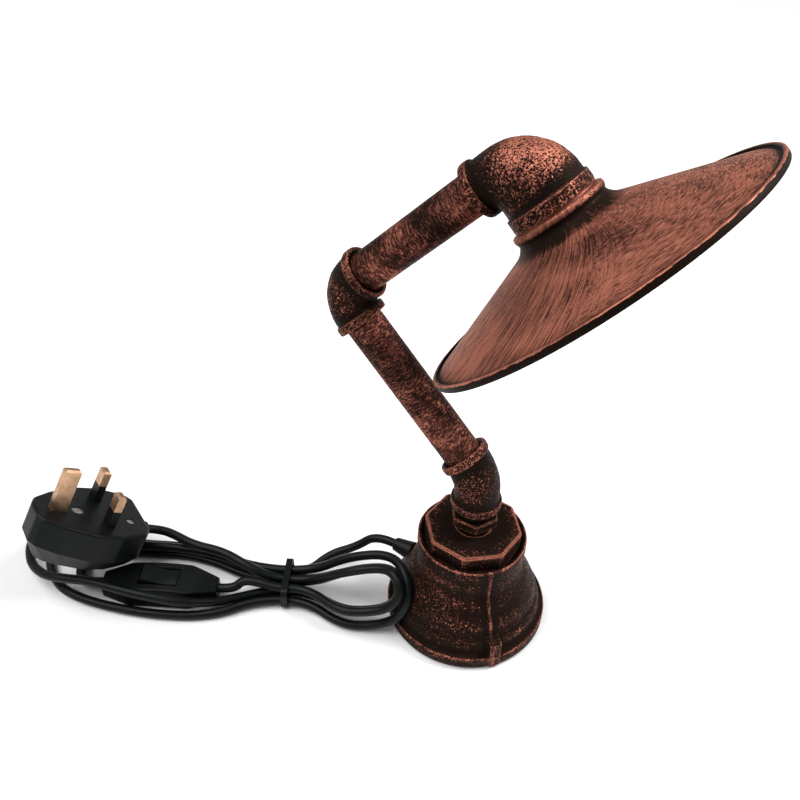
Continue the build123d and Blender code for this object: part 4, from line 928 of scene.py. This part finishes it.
class LAMP_OT_studio(bpy.types.Operator):
    """Sets up the pale floor, the soft lights and the camera."""

    bl_idname = "lamp.studio"
    bl_label = "Studio"

    def execute(self, context):
        scene = context.scene
        studio = scene.lamp_studio
        corners = np.array([(-1, -1, 0), (1, -1, 0), (1, 1, 0), (-1, 1, 0)]) * FLOOR_REACH
        mesh = bpy.data.meshes.new("floor")
        mesh.from_pydata(corners.tolist(), [], [(0, 1, 2, 3)])
        material, make, shader = new_material("pale floor")
        make.feed(shader["Base Color"], colour(studio.floor))
        make.feed(shader["Roughness"], 0.9)
        floor = linked("floor", mesh, material)
        key = bpy.data.lights.new("key", "SUN")
        key.energy = studio.key
        key.angle = KEY_SPREAD
        side = bpy.data.lights.new("side", "AREA")
        side.energy = studio.rim
        side.size = SIDE_SIZE
        for light, place, aim in ((key, KEY_PLACE, KEY_AIM), (side, SIDE_PLACE, SIDE_AIM)):
            lamp = bpy.data.objects.new(light.name, light)
            lamp.location = place
            lamp.rotation_euler = (Vector(aim) - Vector(place)).to_track_quat("-Z", "Y").to_euler()
            scene.collection.objects.link(lamp)
        world = bpy.data.worlds.new("white room")
        world.use_nodes = True
        background = world.node_tree.nodes["Background"]
        background.inputs[0].default_value = (1, 1, 1, 1)
        background.inputs[1].default_value = studio.world
        scene.world = world
        scene.view_settings.view_transform = "Standard"
        camera = bpy.data.cameras.new("camera")
        camera.lens = studio.lens
        camera.sensor_width = 36.0
        camera.sensor_fit = "HORIZONTAL"
        camera.clip_start = 0.01
        view = bpy.data.objects.new("camera", camera)
        view.matrix_world = Matrix.Translation(CAMERA_AT) @ camera_turn().to_4x4()
        scene.collection.objects.link(view)
        scene.camera = view
        return {"FINISHED"}


class LAMP_PT_panel(bpy.types.Panel):
    """Lists the lamp's steps and values."""

    bl_idname = "LAMP_PT_panel"
    bl_label = "Pipe lamp"
    bl_space_type = "VIEW_3D"
    bl_region_type = "UI"
    bl_category = "Pipe lamp"

    def draw(self, context):
        layout = self.layout
        for step in STEPS:
            layout.operator(step.bl_idname)
        for group in (context.scene.lamp_finish, context.scene.lamp_cord, context.scene.lamp_studio):
            box = layout.box()
            for label in group.__annotations__:
                box.prop(group, label)


STEPS = [LAMP_OT_iron, LAMP_OT_shade, LAMP_OT_trim, LAMP_OT_cords, LAMP_OT_studio]
CLASSES = [LampFinish, LampCord, LampStudio, *STEPS, LAMP_PT_panel]


def register():
    """Registers the classes and hangs the values on the scene."""
    for each in CLASSES:
        bpy.utils.register_class(each)
    bpy.types.Scene.lamp_finish = bpy.props.PointerProperty(type=LampFinish)
    bpy.types.Scene.lamp_cord = bpy.props.PointerProperty(type=LampCord)
    bpy.types.Scene.lamp_studio = bpy.props.PointerProperty(type=LampStudio)


def unregister():
    """Takes the values off the scene and the classes away."""
    del bpy.types.Scene.lamp_finish
    del bpy.types.Scene.lamp_cord
    del bpy.types.Scene.lamp_studio
    for each in reversed(CLASSES):
        bpy.utils.unregister_class(each)


def main():
    """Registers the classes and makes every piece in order."""
    register()
    bpy.ops.lamp.iron()
    bpy.ops.lamp.shade()
    bpy.ops.lamp.trim()
    bpy.ops.lamp.cords()
    bpy.ops.lamp.studio()


if __name__ == "__main__":
    main()
